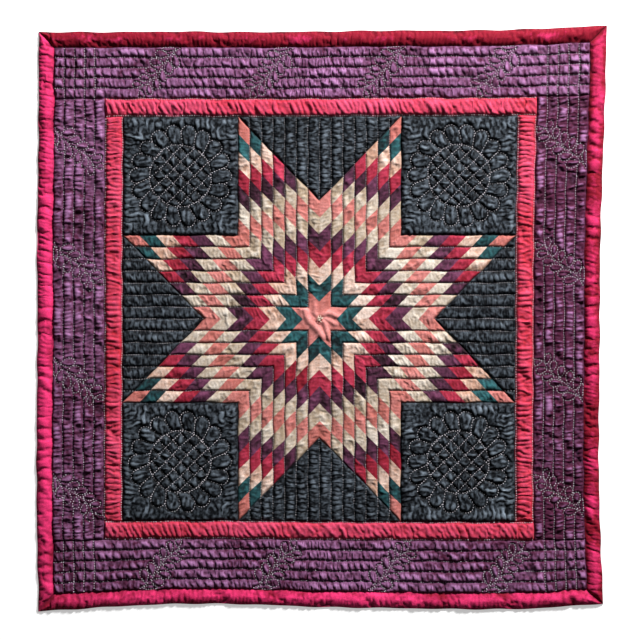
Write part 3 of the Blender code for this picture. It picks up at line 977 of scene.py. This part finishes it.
@dataclass(frozen=True)
class Cotton:
    """A woven cotton: its colour, the paler colour that it fades to in patches and that its crests take as
    wear and painted highlight, and how strongly each shows.

    fade is the paler colour's largest share in patches, and crest_wear_and_highlight its largest share on
    the crests, partly wear and partly painted highlight, which it comes to between the two heights in
    crests. Down towards the quilting lines, from the upper of the two heights in hollows to the lower, the
    cloth darkens with painted shade to the share hollow_shade of its colour.
    """

    name: str
    colour: tuple[float, float, float]
    fade_and_highlight: tuple[float, float, float]
    fade: float = 0.5
    crest_wear_and_highlight: float = 0.25
    rough: float = 0.82
    uneven: float = 0.08
    sheen: float = 0.04
    sheen_rough: float = 0.5
    specular: float = 0.26
    crests: tuple[float, float] = (0.0048, 0.0082)
    hollows: tuple[float, float] = (0.0015, 0.0045)
    hollow_shade: float = 0.55
    patches: float = 7.0
    threads: float = 520.0

    def material(self) -> bpy.types.Material:
        """Make the cloth, with its weave, slubs, uneven dye, crests paled by wear and painted highlight, and
        painted shade in its hollows.
        """
        nodes = NodeTree(self.name)
        # Each name's length moves its noises, so that neighbouring cloths differ
        seed = 3.1 + len(self.name) * 0.37
        base, fade_and_highlight = (*self.colour, 1.0), (*self.fade_and_highlight, 1.0)
        patchy = nodes.grain(Grain(self.patches, 3.0, 0.35, 0.68, 0.0, self.fade), seed)
        mottled = nodes.grain(MOTTLE, seed + 5)
        tone = nodes.add("ShaderNodeAttribute", attribute_name="tone").outputs["Fac"]
        height = nodes.add("ShaderNodeSeparateXYZ", {0: nodes.place()}).outputs[2]
        # Paler towards the crests: partly wear, partly painted highlight
        crest_highlight = nodes.ramp(height, *self.crests, 0.0, self.crest_wear_and_highlight)
        share = nodes.math("ADD", nodes.math("ADD", patchy, mottled), nodes.math("ADD", tone, crest_highlight))
        # Painted shade: darker down towards the quilting lines, times the yarn's slubs
        shade = nodes.math("MULTIPLY", nodes.grain(SLUB, seed + 9),
                           nodes.ramp(height, *self.hollows, self.hollow_shade, 1.0))
        tinted = nodes.add("ShaderNodeVectorMath", {0: nodes.mix(share, base, fade_and_highlight)}, operation="SCALE")
        nodes.put(tinted.inputs["Scale"], shade)
        nodes.put(nodes.shader.inputs["Base Color"], tinted.outputs[0])
        gloss = replace(GLOSS, start=self.rough - self.uneven, end=self.rough + self.uneven)
        nodes.put(nodes.shader.inputs["Roughness"], nodes.grain(gloss, seed + 2))
        nodes.shader.inputs["Specular IOR Level"].default_value = self.specular
        nodes.shader.inputs["Sheen Weight"].default_value = self.sheen
        nodes.shader.inputs["Sheen Roughness"].default_value = self.sheen_rough
        self._weave(nodes)
        nodes.material.diffuse_color = base
        return nodes.material

    def _weave(self, nodes: NodeTree) -> None:
        """Raise the over-and-under of the threads and a faint crumple on the surface."""
        wave = {"Vector": nodes.place(), "Scale": self.threads, "Distortion": 1.2, "Detail": 1.0}
        threads = [
            nodes.add("ShaderNodeTexWave", wave, wave_type="BANDS", bands_direction=axis).outputs["Fac"]
            for axis in ("X", "Y")
        ]
        woven = nodes.bump(nodes.math("MULTIPLY", *threads), strength=0.20, distance=0.00012)
        crumple = nodes.noise(scale=420.0, detail=3.0, seed=1.5)
        crumpled = nodes.bump(crumple, strength=0.35, distance=0.0006, over=woven)
        nodes.put(nodes.shader.inputs["Normal"], crumpled)


@dataclass(frozen=True)
class Thread:
    """A cream thread, with its twist. dull is how much of its colour its darkest places keep."""

    name: str
    colour: tuple[float, float, float]
    dull: float = 0.8
    rough: float = 0.6
    sheen: float = 0.1

    def material(self) -> bpy.types.Material:
        """Make the thread."""
        nodes = NodeTree(self.name)
        dull = (*(self.dull * value for value in self.colour), 1.0)
        colour = nodes.mix(nodes.grain(STRAND, seed=4.0), dull, (*self.colour, 1.0))
        nodes.put(nodes.shader.inputs["Base Color"], colour)
        nodes.shader.inputs["Roughness"].default_value = self.rough
        nodes.shader.inputs["Sheen Weight"].default_value = self.sheen
        twist = nodes.noise(scale=3000.0, detail=1.0, seed=2.0)
        nodes.put(nodes.shader.inputs["Normal"], nodes.bump(twist, strength=0.3, distance=0.0002))
        return nodes.material


QUILTING_THREAD = Thread("quilting_thread", (0.96, 0.90, 0.98))
TIE_THREAD = Thread("tie_thread", (0.88, 0.76, 0.62))
# The heights between which the star's patches pale towards their crests, with wear and painted highlight
PIECED_CRESTS = (0.0035, 0.0058)
# The colour and the paler colour, for fading and painted highlight, of each of the star's patches
PATCHES = {
    "salmon": ((0.51, 0.140, 0.115), (0.73, 0.28, 0.265)),
    "teal": ((0.001, 0.010, 0.014), (0.038, 0.190, 0.210)),
    "peach": ((0.57, 0.32, 0.225), (0.95, 0.80, 0.72)),
    "crimson": ((0.26, 0.005, 0.020), (0.62, 0.050, 0.115)),
    "plum": ((0.020, 0.001, 0.008), (0.240, 0.060, 0.145)),
    "cream": ((0.44, 0.325, 0.225), (0.92, 0.85, 0.77)),
}
COTTONS = {
    name: Cotton(f"{name}_cotton", *colours, 0.3, 0.5, crests=PIECED_CRESTS)
    for name, colours in PATCHES.items()
} | {
    "navy": Cotton("navy_cotton", (0.003, 0.004, 0.006), (0.215, 0.260, 0.315), 0.10, 1.0,
                   rough=0.70, sheen=0.0, specular=0.12, crests=(0.0059, 0.0086)),
    "purple": Cotton("purple_cotton", (0.068, 0.010, 0.034), (0.420, 0.190, 0.400), 0.24, 1.0,
                     sheen=0.0, specular=0.14, crests=(0.0053, 0.0076)),
    "rose": Cotton("rose_cotton", (0.45, 0.013, 0.030), (0.64, 0.066, 0.155), 0.5, 0.35),
    "binding": Cotton("binding_cotton", (0.22, 0.002, 0.016), (0.80, 0.034, 0.165), 0.8, 0.60,
                      sheen=0.02, specular=0.16, patches=18.0),
    "backing": Cotton("backing_cotton", (0.60, 0.52, 0.40), (0.70, 0.64, 0.54), crest_wear_and_highlight=0.0),
}
# The cloths of the rows of small diamonds across a star point, from the middle of the star to its tip
STAR_ROWS = (
    "salmon", "teal", "peach", "crimson", "plum", "cream", "salmon",
    "cream", "plum", "crimson", "peach", "teal", "salmon",
)
# The cloth of the star points' side walls
WALL_CLOTH = "plum"


@dataclass
class Wardrobe:
    """The quilt's materials, each made once."""

    made: dict[str, bpy.types.Material] = field(default_factory=dict)

    def cotton(self, name: str) -> bpy.types.Material:
        """The cloth of this name."""
        if name not in self.made:
            self.made[name] = COTTONS[name].material()
        return self.made[name]

    def thread(self, thread: Thread) -> bpy.types.Material:
        """This thread."""
        if thread.name not in self.made:
            self.made[thread.name] = thread.material()
        return self.made[thread.name]


def mesh_object(name: str, points: np.ndarray, faces: list[np.ndarray]) -> bpy.types.Object:
    """Make an object from points and arrays of faces with the same number of corners each.

    Args:
        name: The object's name.
        points: World points, one to a row.
        faces: Arrays of faces, one face to a row.

    Returns:
        The object, in the scene.
    """
    corners = np.concatenate([part.ravel() for part in faces]).astype(np.int32)
    sides = np.concatenate([np.full(len(part), part.shape[1]) for part in faces])
    mesh = bpy.data.meshes.new(name)
    mesh.vertices.add(len(points))
    mesh.vertices.foreach_set("co", np.asarray(points, np.float32).ravel())
    mesh.loops.add(len(corners))
    mesh.loops.foreach_set("vertex_index", corners)
    mesh.polygons.add(len(sides))
    mesh.polygons.foreach_set("loop_start", (np.cumsum(sides) - sides).astype(np.int32))
    mesh.update(calc_edges=True)
    mesh.validate()
    obj = bpy.data.objects.new(name, mesh)
    bpy.context.scene.collection.objects.link(obj)
    return obj


# Edges that turn by more than this are shaded sharp
SHARP = math.radians(48)


@dataclass
class Panel(ABC):
    """A cloth panel of the quilt's top, which goes down to the flat underside.

    KIND starts the name of the node that it stands for, SLOT names its cloth's slot, which nothing here
    reads, and CLOTHS are the cloths of its face, in the order of their numbers.
    """

    KIND: ClassVar[str]
    SLOT: ClassVar[str]
    CLOTHS: ClassVar[tuple[str, ...]]

    layout: Layout
    padding: Padding = QUILTED
    thread: float = 1.0

    @property
    @abstractmethod
    def label(self) -> str:
        """What sets it apart from the others of its kind."""

    @property
    def node(self) -> str:
        """The node that the panel stands for."""
        return f"{self.KIND}_{self.label}"

    @property
    def tone_shift(self) -> float:
        """How much paler than its cloth the panel is coloured, or darker where it is below zero."""
        return 0.0

    @abstractmethod
    def corners(self) -> np.ndarray:
        """Its corners, counterclockwise."""

    @abstractmethod
    def flat_size(self) -> tuple[float, float, float]:
        """The width, length and area that it is cut to."""

    @abstractmethod
    def spread(self) -> Spread:
        """Its flat mesh."""

    def seams(self) -> list[np.ndarray]:
        """The seams and other lines that hold it down with no thread showing."""
        corners = self.corners()
        return [np.vstack([corners, corners[:1]])]

    def quilting(self) -> list[np.ndarray]:
        """The lines of its hand quilting."""
        return []

    def lines(self) -> list[np.ndarray]:
        """All the lines on the panel that hold it down."""
        return self.seams() + self.quilting()

    def holding(self) -> list[np.ndarray]:
        """The lines that shape its face, its own and any that lie close beside it."""
        return self.lines()

    def ending(self) -> list[np.ndarray]:
        """The lines at which its folds die out."""
        return self.holding()

    def build(self, cloth: SettledCloth, wardrobe: Wardrobe, floor: bpy.types.Object) -> bpy.types.Object:
        """Make the panel from the settled cloth, with its hand stitches.

        Args:
            cloth: The settled cloth.
            wardrobe: The materials.
            floor: What the quilt lies on. Not used.

        Returns:
            The panel.
        """
        spread = self.spread()
        top = cloth.shape(spread.points, self.holding(), self.ending(), self.padding)
        rim = spread.rim
        under = len(top) + np.arange(len(rim))
        points = np.vstack([top, np.column_stack([top[rim, :2], np.zeros(len(rim))])])
        points[:, :2] = self.layout.bent(points[:, :2])
        ahead, under_ahead = np.roll(rim, -1), np.roll(under, -1)
        walls = np.stack([rim, under, under_ahead, ahead], axis=1)
        panel = mesh_object(f"{self.node}_cloth", points, [spread.faces, walls, under[::-1][None, :]])
        self._dress(panel, spread, wardrobe)
        stitched = self.quilting()
        if stitched:
            tree = BVHTree.FromPolygons(points[: len(top)].tolist(), spread.faces.tolist())
            sewing = HandStitches(f"{self.node}_stitches", self.layout, self.thread)
            sewing.build(stitched, tree, wardrobe)
        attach(panel, "root")
        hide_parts(self.node)
        width, length, area = self.flat_size()
        LOG.info("%s: %d faces, %d quilted lines", panel.name, len(panel.data.polygons), len(stitched))
        return panel

    def _dress(self, panel: bpy.types.Object, spread: Spread, wardrobe: Wardrobe) -> None:
        """Give the panel its cloths, its tones and its shading."""
        mesh, face = panel.data, slice(0, len(spread.faces))
        for name in (*self.CLOTHS, "backing"):
            mesh.materials.append(wardrobe.cotton(name))
        numbers = np.zeros(len(mesh.polygons), np.int32)
        tones = np.full(len(mesh.polygons), self.tone_shift, np.float32)
        if spread.materials is not None:
            numbers[:] = self.CLOTHS.index(WALL_CLOTH)
            numbers[face], tones[face] = spread.materials, spread.tones
        numbers[-1] = len(self.CLOTHS)
        mesh.polygons.foreach_set("material_index", numbers)
        mesh.attributes.new("tone", "FLOAT", "FACE").data.foreach_set("value", tones)
        mesh.shade_smooth()
        mesh.set_sharp_from_angle(angle=SHARP)


@dataclass
class FieldPanel(Panel, ABC):
    """A panel of the field, numbered counterclockwise from the right."""

    number: int = 1

    @property
    def label(self) -> str:
        """Its number."""
        return str(self.number)


@dataclass
class StarPoint(FieldPanel):
    """A large diamond pieced from small ones, quilted along every level or upright seam."""

    KIND = "star_point"
    SLOT = "pieced_star"
    CLOTHS = tuple(dict.fromkeys(STAR_ROWS))

    tone: float = 0.16
    knot: float = 0.004

    def corners(self) -> np.ndarray:
        """Its corners from the middle of the star, counterclockwise."""
        turns = [EIGHTH * (self.number - 1 + k) for k in (0, 1)]
        one, two = (self.layout.star_place(*heading(turn)) for turn in turns)
        return np.array([np.zeros(2), one, one + two, two])

    def flat_size(self) -> tuple[float, float, float]:
        """The side, the height between two sides and the area that it is cut to."""
        _, one, _, two = self.corners()
        side = float(np.hypot(*one))
        area = abs(one[0] * two[1] - one[1] * two[0])
        return side, area / side, area

    def spread(self) -> Spread:
        """Its flat mesh, with each small diamond's cloth and tone."""
        patches = self.layout.patches
        cells = 2 * round(np.hypot(*self.corners()[1]) / patches / CELL / 2)
        spread = grid_spread(self.corners(), patches * cells, patches * cells)
        j, i = np.divmod(np.arange(len(spread.faces)), patches * cells)
        i, j = i // cells, j // cells
        spread.materials = np.array([self.CLOTHS.index(name) for name in STAR_ROWS])[i + j]
        dyes = np.random.default_rng(100 + self.number).uniform(-self.tone, self.tone, (patches, patches))
        spread.tones = dyes[i, j]
        return spread

    def seams(self) -> list[np.ndarray]:
        """The seams to the squares and triangles round the star, and the stitch in its middle."""
        a, b, c, d = self.corners()
        return [np.array([b, c]), np.array([d, c]), np.array([a, a + (b - a) * self.knot])]

    def quilting(self) -> list[np.ndarray]:
        """A line along each seam that is level or upright; the slanting seams are not quilted."""
        a, b, _, d = self.corners()
        straight, slanting = (b - a, d - a) if self.number % 2 else (d - a, b - a)
        steps = [slanting * k / self.layout.patches for k in range(1, self.layout.patches)]
        return [np.array([a + step, a + step + straight]) for step in steps]

    def holding(self) -> list[np.ndarray]:
        """The lines of the whole star, which its points share across their common seams."""
        points = [StarPoint(self.layout, number=number) for number in range(1, STAR_POINTS + 1)]
        return [line for point in points for line in point.lines()]


@dataclass
class CornerSquare(FieldPanel):
    """A corner of the field, quilted with a feather wreath."""

    KIND = "corner_square"
    SLOT = "navy_cotton"
    CLOTHS = ("navy",)

    wreath: Wreath = field(default_factory=Wreath)

    def corners(self) -> np.ndarray:
        """Its corners, counterclockwise."""
        right, up = ((1, 1), (-1, 1), (-1, -1), (1, -1))[self.number - 1]
        far = 1 + SLANT
        corners = [
            self.layout.star_place(right * x, up * y)
            for x, y in ((SLANT, SLANT), (far, SLANT), (far, far), (SLANT, far))
        ]
        return np.array(corners if right * up > 0 else corners[::-1])

    def flat_size(self) -> tuple[float, float, float]:
        """The width, length and area that it is cut to."""
        width, length = self.layout.diamond
        return width, length, width * length

    def spread(self) -> Spread:
        """Its flat mesh."""
        corners = self.corners()
        counts = [round(math.dist(corners[0], corners[k]) / CELL) for k in (1, 3)]
        return grid_spread(corners, *counts)

    def quilting(self) -> list[np.ndarray]:
        """The wreath."""
        return list(self.wreath.lines(self.corners().mean(axis=0)))


@dataclass
class SettingTriangle(FieldPanel):
    """A triangle between two star points, quilted in lines that carry on the star's seams."""

    KIND = "setting_triangle"
    SLOT = "navy_cotton"
    CLOTHS = ("navy",)

    cells: int = 10

    def corners(self) -> np.ndarray:
        """Its corners, counterclockwise: the one on the star, then the two on the border."""
        ahead, aside = (heading(math.pi / 2 * (self.number + turn)) for turn in (-1, 0))
        far = 1 + SLANT
        return np.array([
            self.layout.star_place(*corner)
            for corner in (ahead, far * ahead - SLANT * aside, far * ahead + SLANT * aside)
        ])

    def flat_size(self) -> tuple[float, float, float]:
        """The width, length and area that it is cut to."""
        apex, right, left = self.corners()
        base = math.dist(right, left)
        height = math.dist(apex, (right + left) / 2)
        return base, height, base * height / 2

    def spread(self) -> Spread:
        """Its flat mesh."""
        return triangle_spread(self.corners(), self.cells * 2 * self.layout.patches)

    def quilting(self) -> list[np.ndarray]:
        """The parallel lines from the border to the star."""
        apex, right, left = self.corners()
        lines = []
        count = 2 * self.layout.patches
        for k in range(1, count):
            share = k / count
            base = right + (left - right) * share
            if share < 0.5:
                star = right + (apex - right) * 2 * share
            else:
                star = apex + (left - apex) * (2 * share - 1)
            lines.append(np.array([base, star]))
        return lines


@dataclass
class Strip(Panel, ABC):
    """A strip along one side of the quilt.

    RING counts the layout's rings up to its inner seam, and TONE_SHIFTS says how much paler or darker each
    side is coloured.
    """

    RING: ClassVar[int]
    TONE_SHIFTS: ClassVar[dict[Side, float]]

    side: Side = Side.TOP

    @property
    def label(self) -> str:
        """Its side."""
        return self.side.word

    @property
    def tone_shift(self) -> float:
        """How much paler or darker this side is coloured."""
        return self.TONE_SHIFTS[self.side]

    def span(self) -> tuple[float, float, float, float]:
        """Half its inner length, half its outer length and its two seams' distances from the middle."""
        near, far = self.layout.rings[self.RING:self.RING + 2]
        half = (far if self.side.across else near)[self.side.along]
        return half, half, near[self.side.across], far[self.side.across]

    def corners(self) -> np.ndarray:
        """Its corners, counterclockwise, from the inner seam's clockwise end."""
        inner_half, outer_half, inner, outer = self.span()
        places = ((-inner_half, inner), (-outer_half, outer), (outer_half, outer), (inner_half, inner))
        return np.array([self.side.place(*place) for place in places])

    def flat_size(self) -> tuple[float, float, float]:
        """The width, length and area that it is cut to."""
        inner_half, outer_half, inner, outer = self.span()
        width = outer - inner
        return width, 2 * outer_half, width * (inner_half + outer_half)

    def spread(self) -> Spread:
        """Its flat mesh."""
        _, half, inner, outer = self.span()
        return grid_spread(self.corners(), round((outer - inner) / CELL), round(2 * half / CELL))

    def ending(self) -> list[np.ndarray]:
        """The lines at which its folds die out, its seams alone, as its quilting lets them through."""
        return self.seams()


@dataclass
class InnerBorder(Strip):
    """A narrow strip, gathered between its two seams and quilted only close beside them."""

    KIND = "inner_border"
    SLOT = "rose_cotton"
    CLOTHS = ("rose",)
    RING = 0
    TONE_SHIFTS = {Side.TOP: 0.20, Side.RIGHT: 0.0, Side.LEFT: 0.05, Side.BOTTOM: 0.20}

    beside: float = 0.0015

    def quilting(self) -> list[np.ndarray]:
        """A line close beside each of its long seams."""
        half, _, inner, outer = self.span()
        ends = np.array([-half + self.beside, half - self.beside])
        return [self.side.place(ends, out) for out in (inner + self.beside, outer - self.beside)]


@dataclass
class OuterBorder(Strip):
    """A wide strip quilted in lengthwise channels that feather sprays interrupt.

    SPRAYS gives each side's sprays, with how far apart they stand and how far their row lies from the
    side's middle.
    """

    KIND = "outer_border"
    SLOT = "purple_cotton"
    CLOTHS = ("purple",)
    RING = 1
    TONE_SHIFTS = {Side.TOP: 0.08, Side.RIGHT: -0.14, Side.LEFT: 0.02, Side.BOTTOM: 0.05}
    SPRAYS: ClassVar[dict[Side, Spray]] = {
        Side.RIGHT: Spray(0.2198, -0.051),
        Side.TOP: Spray(0.2135, -0.060),
        Side.LEFT: Spray(0.2187, -0.040),
        Side.BOTTOM: Spray(0.2170, -0.021),
    }

    seam_stop: float = 0.0015

    def quilting(self) -> list[np.ndarray]:
        """The channels, the lines that cross them in the corners, and the sprays."""
        half, _, inner, outer = self.span()
        channel = (outer - inner) / self.layout.channels
        steps = [channel * k for k in range(1, self.layout.channels)]
        spray, lines = self.SPRAYS[self.side], []
        for inwards in steps:
            for low, high in spray.clear(half, inwards):
                lines.append(self.side.place(np.array([low, high]), outer - inwards))
        if self.side.across:
            corner = self.layout.inner[self.side.along]
            for end in (-1, 1):
                for past in steps:
                    lines.append(self.side.place(end * (corner + past), np.array([inner, outer])))
        for start in spray.starts():
            for line in spray.lines():
                inwards = np.clip(line[:, 1], self.seam_stop, outer - inner - self.seam_stop)
                lines.append(self.side.place(start + line[:, 0], outer - inwards))
        return lines


@dataclass
class Binding(Strip):
    """A padded strip folded over the quilt's edge, mitred at both ends."""

    KIND = "binding"
    SLOT = "binding_cotton"
    CLOTHS = ("binding",)
    RING = 2
    TONE_SHIFTS = {Side.TOP: -0.75, Side.RIGHT: -0.34, Side.LEFT: 0.30, Side.BOTTOM: 0.06}

    def span(self) -> tuple[float, float, float, float]:
        """Half its two lengths, of which the outer one is longer, and its seams' distances."""
        near, far = self.layout.rings[self.RING:self.RING + 2]
        along, across = self.side.along, self.side.across
        return near[along], far[along], near[across], far[across]


# A height well above the quilt, to look down from, and about how high the cloth is at a seam
CLEAR, SEAM_TOP = 0.05, 0.002


@dataclass(frozen=True)
class HandStitches:
    """Running stitches along a panel's quilting lines, sewn as small raised dashes of thread.

    Each stitch is a low pyramid. Some pull in deeper than others, so width and height vary between the
    two shares in sizes. ends and shoulders are how high its corners stand, as shares of its height.
    """

    name: str
    layout: Layout
    thread: float = 1.0
    pitch: float = 0.0045
    length: float = 0.0025
    width: float = 0.0019
    height: float = 0.0024
    sizes: tuple[float, float] = (0.40, 1.15)
    ends: float = 0.2
    shoulders: float = 0.4

    def build(self, lines: list[np.ndarray], top: BVHTree, wardrobe: Wardrobe) -> bpy.types.Object:
        """Sew the stitches on the panel's face.

        Args:
            lines: The quilting lines.
            top: The panel's face, to rest the thread on.
            wardrobe: The materials.

        Returns:
            The stitches, as one piece.
        """
        sewn = [stitch for line in lines for stitch in self._along(line)]
        middles, headings = (np.array(part) for part in zip(*sewn))
        count = len(middles)
        size = np.random.default_rng(count).uniform(*self.sizes, (count, 1)) * self.thread
        asides = np.stack([-headings[:, 1], headings[:, 0]], axis=1) * size * self.width / 2
        aheads = headings * self.length / 2
        outline = [middles - aheads, middles - asides, middles + aheads, middles + asides, middles]
        flat = self.layout.bent(np.concatenate(outline))
        heights = self._resting(flat[-count:], top)
        rises = size[:, 0] * self.height
        shares = (self.ends, self.shoulders, self.ends, self.shoulders, 1.0)
        lifts = np.concatenate([heights + share * rises for share in shares])
        points = np.column_stack([flat, lifts])
        numbers = np.arange(count)
        corners = [numbers + k * count for k in range(5)]
        sides = [np.stack([corners[k], corners[(k + 1) % 4], corners[4]], axis=1) for k in range(4)]
        base = np.stack([corners[3], corners[2], corners[1], corners[0]], axis=1)
        stitches = mesh_object(self.name, points, [np.concatenate(sides), base])
        stitches.data.materials.append(wardrobe.thread(QUILTING_THREAD))
        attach(stitches, "root")
        LOG.info("%s: %d stitches", self.name, count)
        return stitches

    def _along(self, line: np.ndarray) -> Iterator[tuple[np.ndarray, np.ndarray]]:
        """Yield the middle and the direction of each stitch on a line."""
        gaps = np.diff(line, axis=0)
        lengths = np.hypot(gaps[:, 0], gaps[:, 1])
        ends = np.cumsum(lengths)
        count = int(ends[-1] / self.pitch)
        for k in range(count):
            here = (k + 0.5) * ends[-1] / count
            part = int(np.searchsorted(ends, here))
            ahead = gaps[part] / lengths[part]
            yield line[part + 1] - ahead * (ends[part] - here), ahead

    @staticmethod
    def _resting(places: np.ndarray, top: BVHTree) -> np.ndarray:
        """How high the panel's face is at these places, or a seam where a place is just off it."""
        down = Vector((0, 0, -1))
        hits = (top.ray_cast(Vector((x, y, CLEAR)), down)[0] for x, y in places)
        return np.array([SEAM_TOP if hit is None else hit.z for hit in hits])


@dataclass(frozen=True)
class CentreTie:
    """The tuft of thread that gathers the middle of the star: a wound knot with loose ends.

    The knot's thread winds between the share tight of its widest radius and all of it, squashed along
    y, and climbs from low by rise. waves and rocks count how often it widens and tilts. Each loose end
    has a bearing in degrees, a length and a curl, and arches up and part of the way down again.
    """

    layout: Layout
    base: float = 0.0019
    turns: int = 5
    steps: int = 24
    winding: float = 0.0030
    tight: float = 0.35
    squash: float = 0.7
    low: float = 0.0016
    rise: float = 0.0026
    tilt: float = 0.0012
    waves: float = 2.3
    rocks: float = 1.5
    thread: float = 0.00060
    sides: int = 6
    end_steps: int = 9
    end_rise: float = 0.0030
    arch: float = 0.8
    curl: float = 2.2
    ends: tuple[tuple[float, float, float], ...] = (
        (15, 0.0060, 0.6), (70, 0.0050, -0.6), (122, 0.0065, 0.5), (180, 0.0060, -0.5),
        (232, 0.0070, 0.5), (285, 0.0055, -0.6), (330, 0.0060, 0.4),
    )

    def build(self, wardrobe: Wardrobe) -> bpy.types.Object:
        """Make the tuft.

        Args:
            wardrobe: The materials.

        Returns:
            The tuft, as one piece.
        """
        points, faces = [], []
        for path in self._paths():
            self._tube(path, points, faces)
        tuft = mesh_object("centre_tie_thread", np.array(points), [np.array(faces)])
        tuft.data.materials.append(wardrobe.thread(TIE_THREAD))
        tuft.data.shade_smooth()
        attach(tuft, "root")
        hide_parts("centre_tie")
        LOG.info("%s: %d threads", tuft.name, len(self.ends) + 1)
        return tuft

    def _paths(self) -> Iterator[np.ndarray]:
        """Yield the wound knot and each loose end."""
        middle = self.layout.bent(np.zeros((1, 2)))[0]
        t = np.linspace(0, 1, self.steps * self.turns)
        angle = 2 * np.pi * self.turns * t
        wide = np.abs(np.sin(self.waves * np.pi * t))
        radius = self.winding * (self.tight + (1 - self.tight) * wide)
        yield np.column_stack([
            middle[0] + radius * np.cos(angle),
            middle[1] + self.squash * radius * np.sin(angle),
            self.base + self.low + self.rise * t + self.tilt * np.sin(angle * self.rocks),
        ])
        t = np.linspace(0, 1, self.end_steps)
        for turn, length, curl in self.ends:
            bearing = math.radians(turn) + curl * self.curl * t
            yield np.column_stack([
                middle[0] + length * t * np.cos(bearing),
                middle[1] + length * t * np.sin(bearing),
                self.base + self.end_rise * (1 + np.sin(np.pi * t * self.arch)),
            ])

    def _tube(self, path: np.ndarray, points: list, faces: list) -> None:
        """Add a round thread along a path to the points and the faces."""
        sides = self.sides
        ahead = np.gradient(path, axis=0)
        ahead /= np.linalg.norm(ahead, axis=1)[:, None]
        aside = np.cross(ahead, [0, 0, 1.0])
        aside /= np.maximum(np.linalg.norm(aside, axis=1)[:, None], TINY)
        up = np.cross(aside, ahead)
        first = len(points)
        for here, right, above in zip(path, aside, up):
            for k in range(sides):
                turn = 2 * math.pi * k / sides
                points.append(here + self.thread * (math.cos(turn) * right + math.sin(turn) * above))
        for ring in range(len(path) - 1):
            low, high = first + ring * sides, first + (ring + 1) * sides
            for k in range(sides):
                after = (k + 1) % sides
                faces.append((low + k, low + after, high + after, high + k))
        last = first + (len(path) - 1) * sides
        # Each of the two six-cornered ends is closed with two four-cornered faces
        for order in ((0, 1, 4, 5), (1, 2, 3, 4)):
            faces.append(tuple(first + k for k in reversed(order)))
            faces.append(tuple(last + k for k in order))


@dataclass(frozen=True)
class Studio:
    """The pale floor, the key light, the soft fill of the room and the camera straight above.

    frame_width is how much of the floor the picture spans, picture how many pixels, and centre_pixel
    where in it the layout's middle falls.
    """

    layout: Layout
    distance: float = 3.0
    frame_width: float = 1.216
    centre_pixel: tuple[float, float] = (319.9, 318.65)
    picture: int = 640
    sensor: float = 36.0
    key: float = 450.0
    key_place: tuple[float, float, float] = (1.90, 3.30, 1.62)
    key_size: float = 0.60
    fill: float = 0.055
    fill_colour: tuple[float, float, float, float] = (1.0, 0.99, 0.98, 1.0)
    floor_half: float = 12.0
    floor_drop: float = 0.0002
    floor_colour: tuple[float, float, float, float] = (0.93, 0.93, 0.93, 1.0)
    floor_rough: float = 0.9
    floor_glow: float = 0.45

    def floor(self) -> bpy.types.Object:
        """Lay the pale floor."""
        half, drop = self.floor_half, self.floor_drop
        points = np.array([(x * half, y * half, -drop) for x, y in ((-1, -1), (1, -1), (1, 1), (-1, 1))])
        floor = mesh_object("studio_floor", points, [np.array([[0, 1, 2, 3]])])
        nodes = NodeTree("pale_floor")
        nodes.shader.inputs["Base Color"].default_value = self.floor_colour
        nodes.shader.inputs["Roughness"].default_value = self.floor_rough
        nodes.shader.inputs["Emission Color"].default_value = (1.0, 1.0, 1.0, 1.0)
        nodes.shader.inputs["Emission Strength"].default_value = self.floor_glow
        floor.data.materials.append(nodes.material)
        return floor

    def lights(self) -> None:
        """Hang one lamp beyond the top right corner of the quilt and light the room softly."""
        data = bpy.data.lights.new("key_light", "AREA")
        data.size, data.energy = self.key_size, self.key
        lamp = bpy.data.objects.new("key_light", data)
        lamp.location = self.key_place
        lamp.rotation_euler = (-Vector(self.key_place)).to_track_quat("-Z", "Y").to_euler()
        bpy.context.scene.collection.objects.link(lamp)
        world = bpy.data.worlds.new("room")
        world.use_nodes = True
        background = world.node_tree.nodes["Background"]
        background.inputs["Color"].default_value = self.fill_colour
        background.inputs["Strength"].default_value = self.fill
        bpy.context.scene.world = world

    def camera(self) -> None:
        """Hang the camera so that the layout's middle falls on its pixel."""
        data = bpy.data.cameras.new("camera")
        data.sensor_width = self.sensor
        data.lens = data.sensor_width * self.distance / self.frame_width
        camera = bpy.data.objects.new("camera", data)
        middle = self.layout.bent(np.zeros((1, 2)))[0]
        step = self.frame_width / self.picture
        half = self.picture / 2
        camera.location = (
            middle[0] + (half - self.centre_pixel[0]) * step,
            middle[1] - (half - self.centre_pixel[1]) * step,
            self.distance,
        )
        bpy.context.scene.collection.objects.link(camera)
        bpy.context.scene.camera = camera
        bpy.context.scene.view_settings.view_transform = "Standard"


# How thick the thread is on the star, as a share of what it is elsewhere
FINE_THREAD = 0.6
# Each strip's padding on the top and bottom, and on the left and right
STRIPS = (
    (InnerBorder, (PLAIN, PLAIN)), (OuterBorder, (CHANNELLED, GATHERED)), (Binding, (ROLLED, ROLLED))
)


def panels(layout: Layout) -> list[Panel]:
    """All the panels of the quilt's top, from the middle outwards."""
    found: list[Panel] = [
        StarPoint(layout, padding=PIECED, thread=FINE_THREAD, number=k) for k in range(1, STAR_POINTS + 1)
    ]
    for kind in (CornerSquare, SettingTriangle):
        found += [kind(layout, number=k) for k in range(1, CORNERS + 1)]
    for kind, paddings in STRIPS:
        for side in Side:
            padding = paddings[side in (Side.LEFT, Side.RIGHT)]
            found.append(kind(layout, padding=padding, side=side))
    return found


def main() -> None:
    """Build the quilt and its studio."""
    logging.basicConfig(level=logging.INFO, format="%(message)s")
    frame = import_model()
    LOG.info("the frame holds %d nodes", len(frame["nodes"]))
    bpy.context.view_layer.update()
    layout = Layout()
    studio = Studio(layout)
    floor = studio.floor()
    studio.lights()
    studio.camera()
    wardrobe = Wardrobe()
    top = panels(layout)
    cloth = SettledCloth(layout)
    cloth.settle([line for panel in top for line in panel.lines()])
    LOG.info("the cloth is settled, folds up to %.1f mm", 1000 * float(np.abs(cloth.lift).max()))
    for panel in top:
        panel.build(cloth, wardrobe, floor)
    CentreTie(layout).build(wardrobe)


if __name__ == "__main__":
    main()
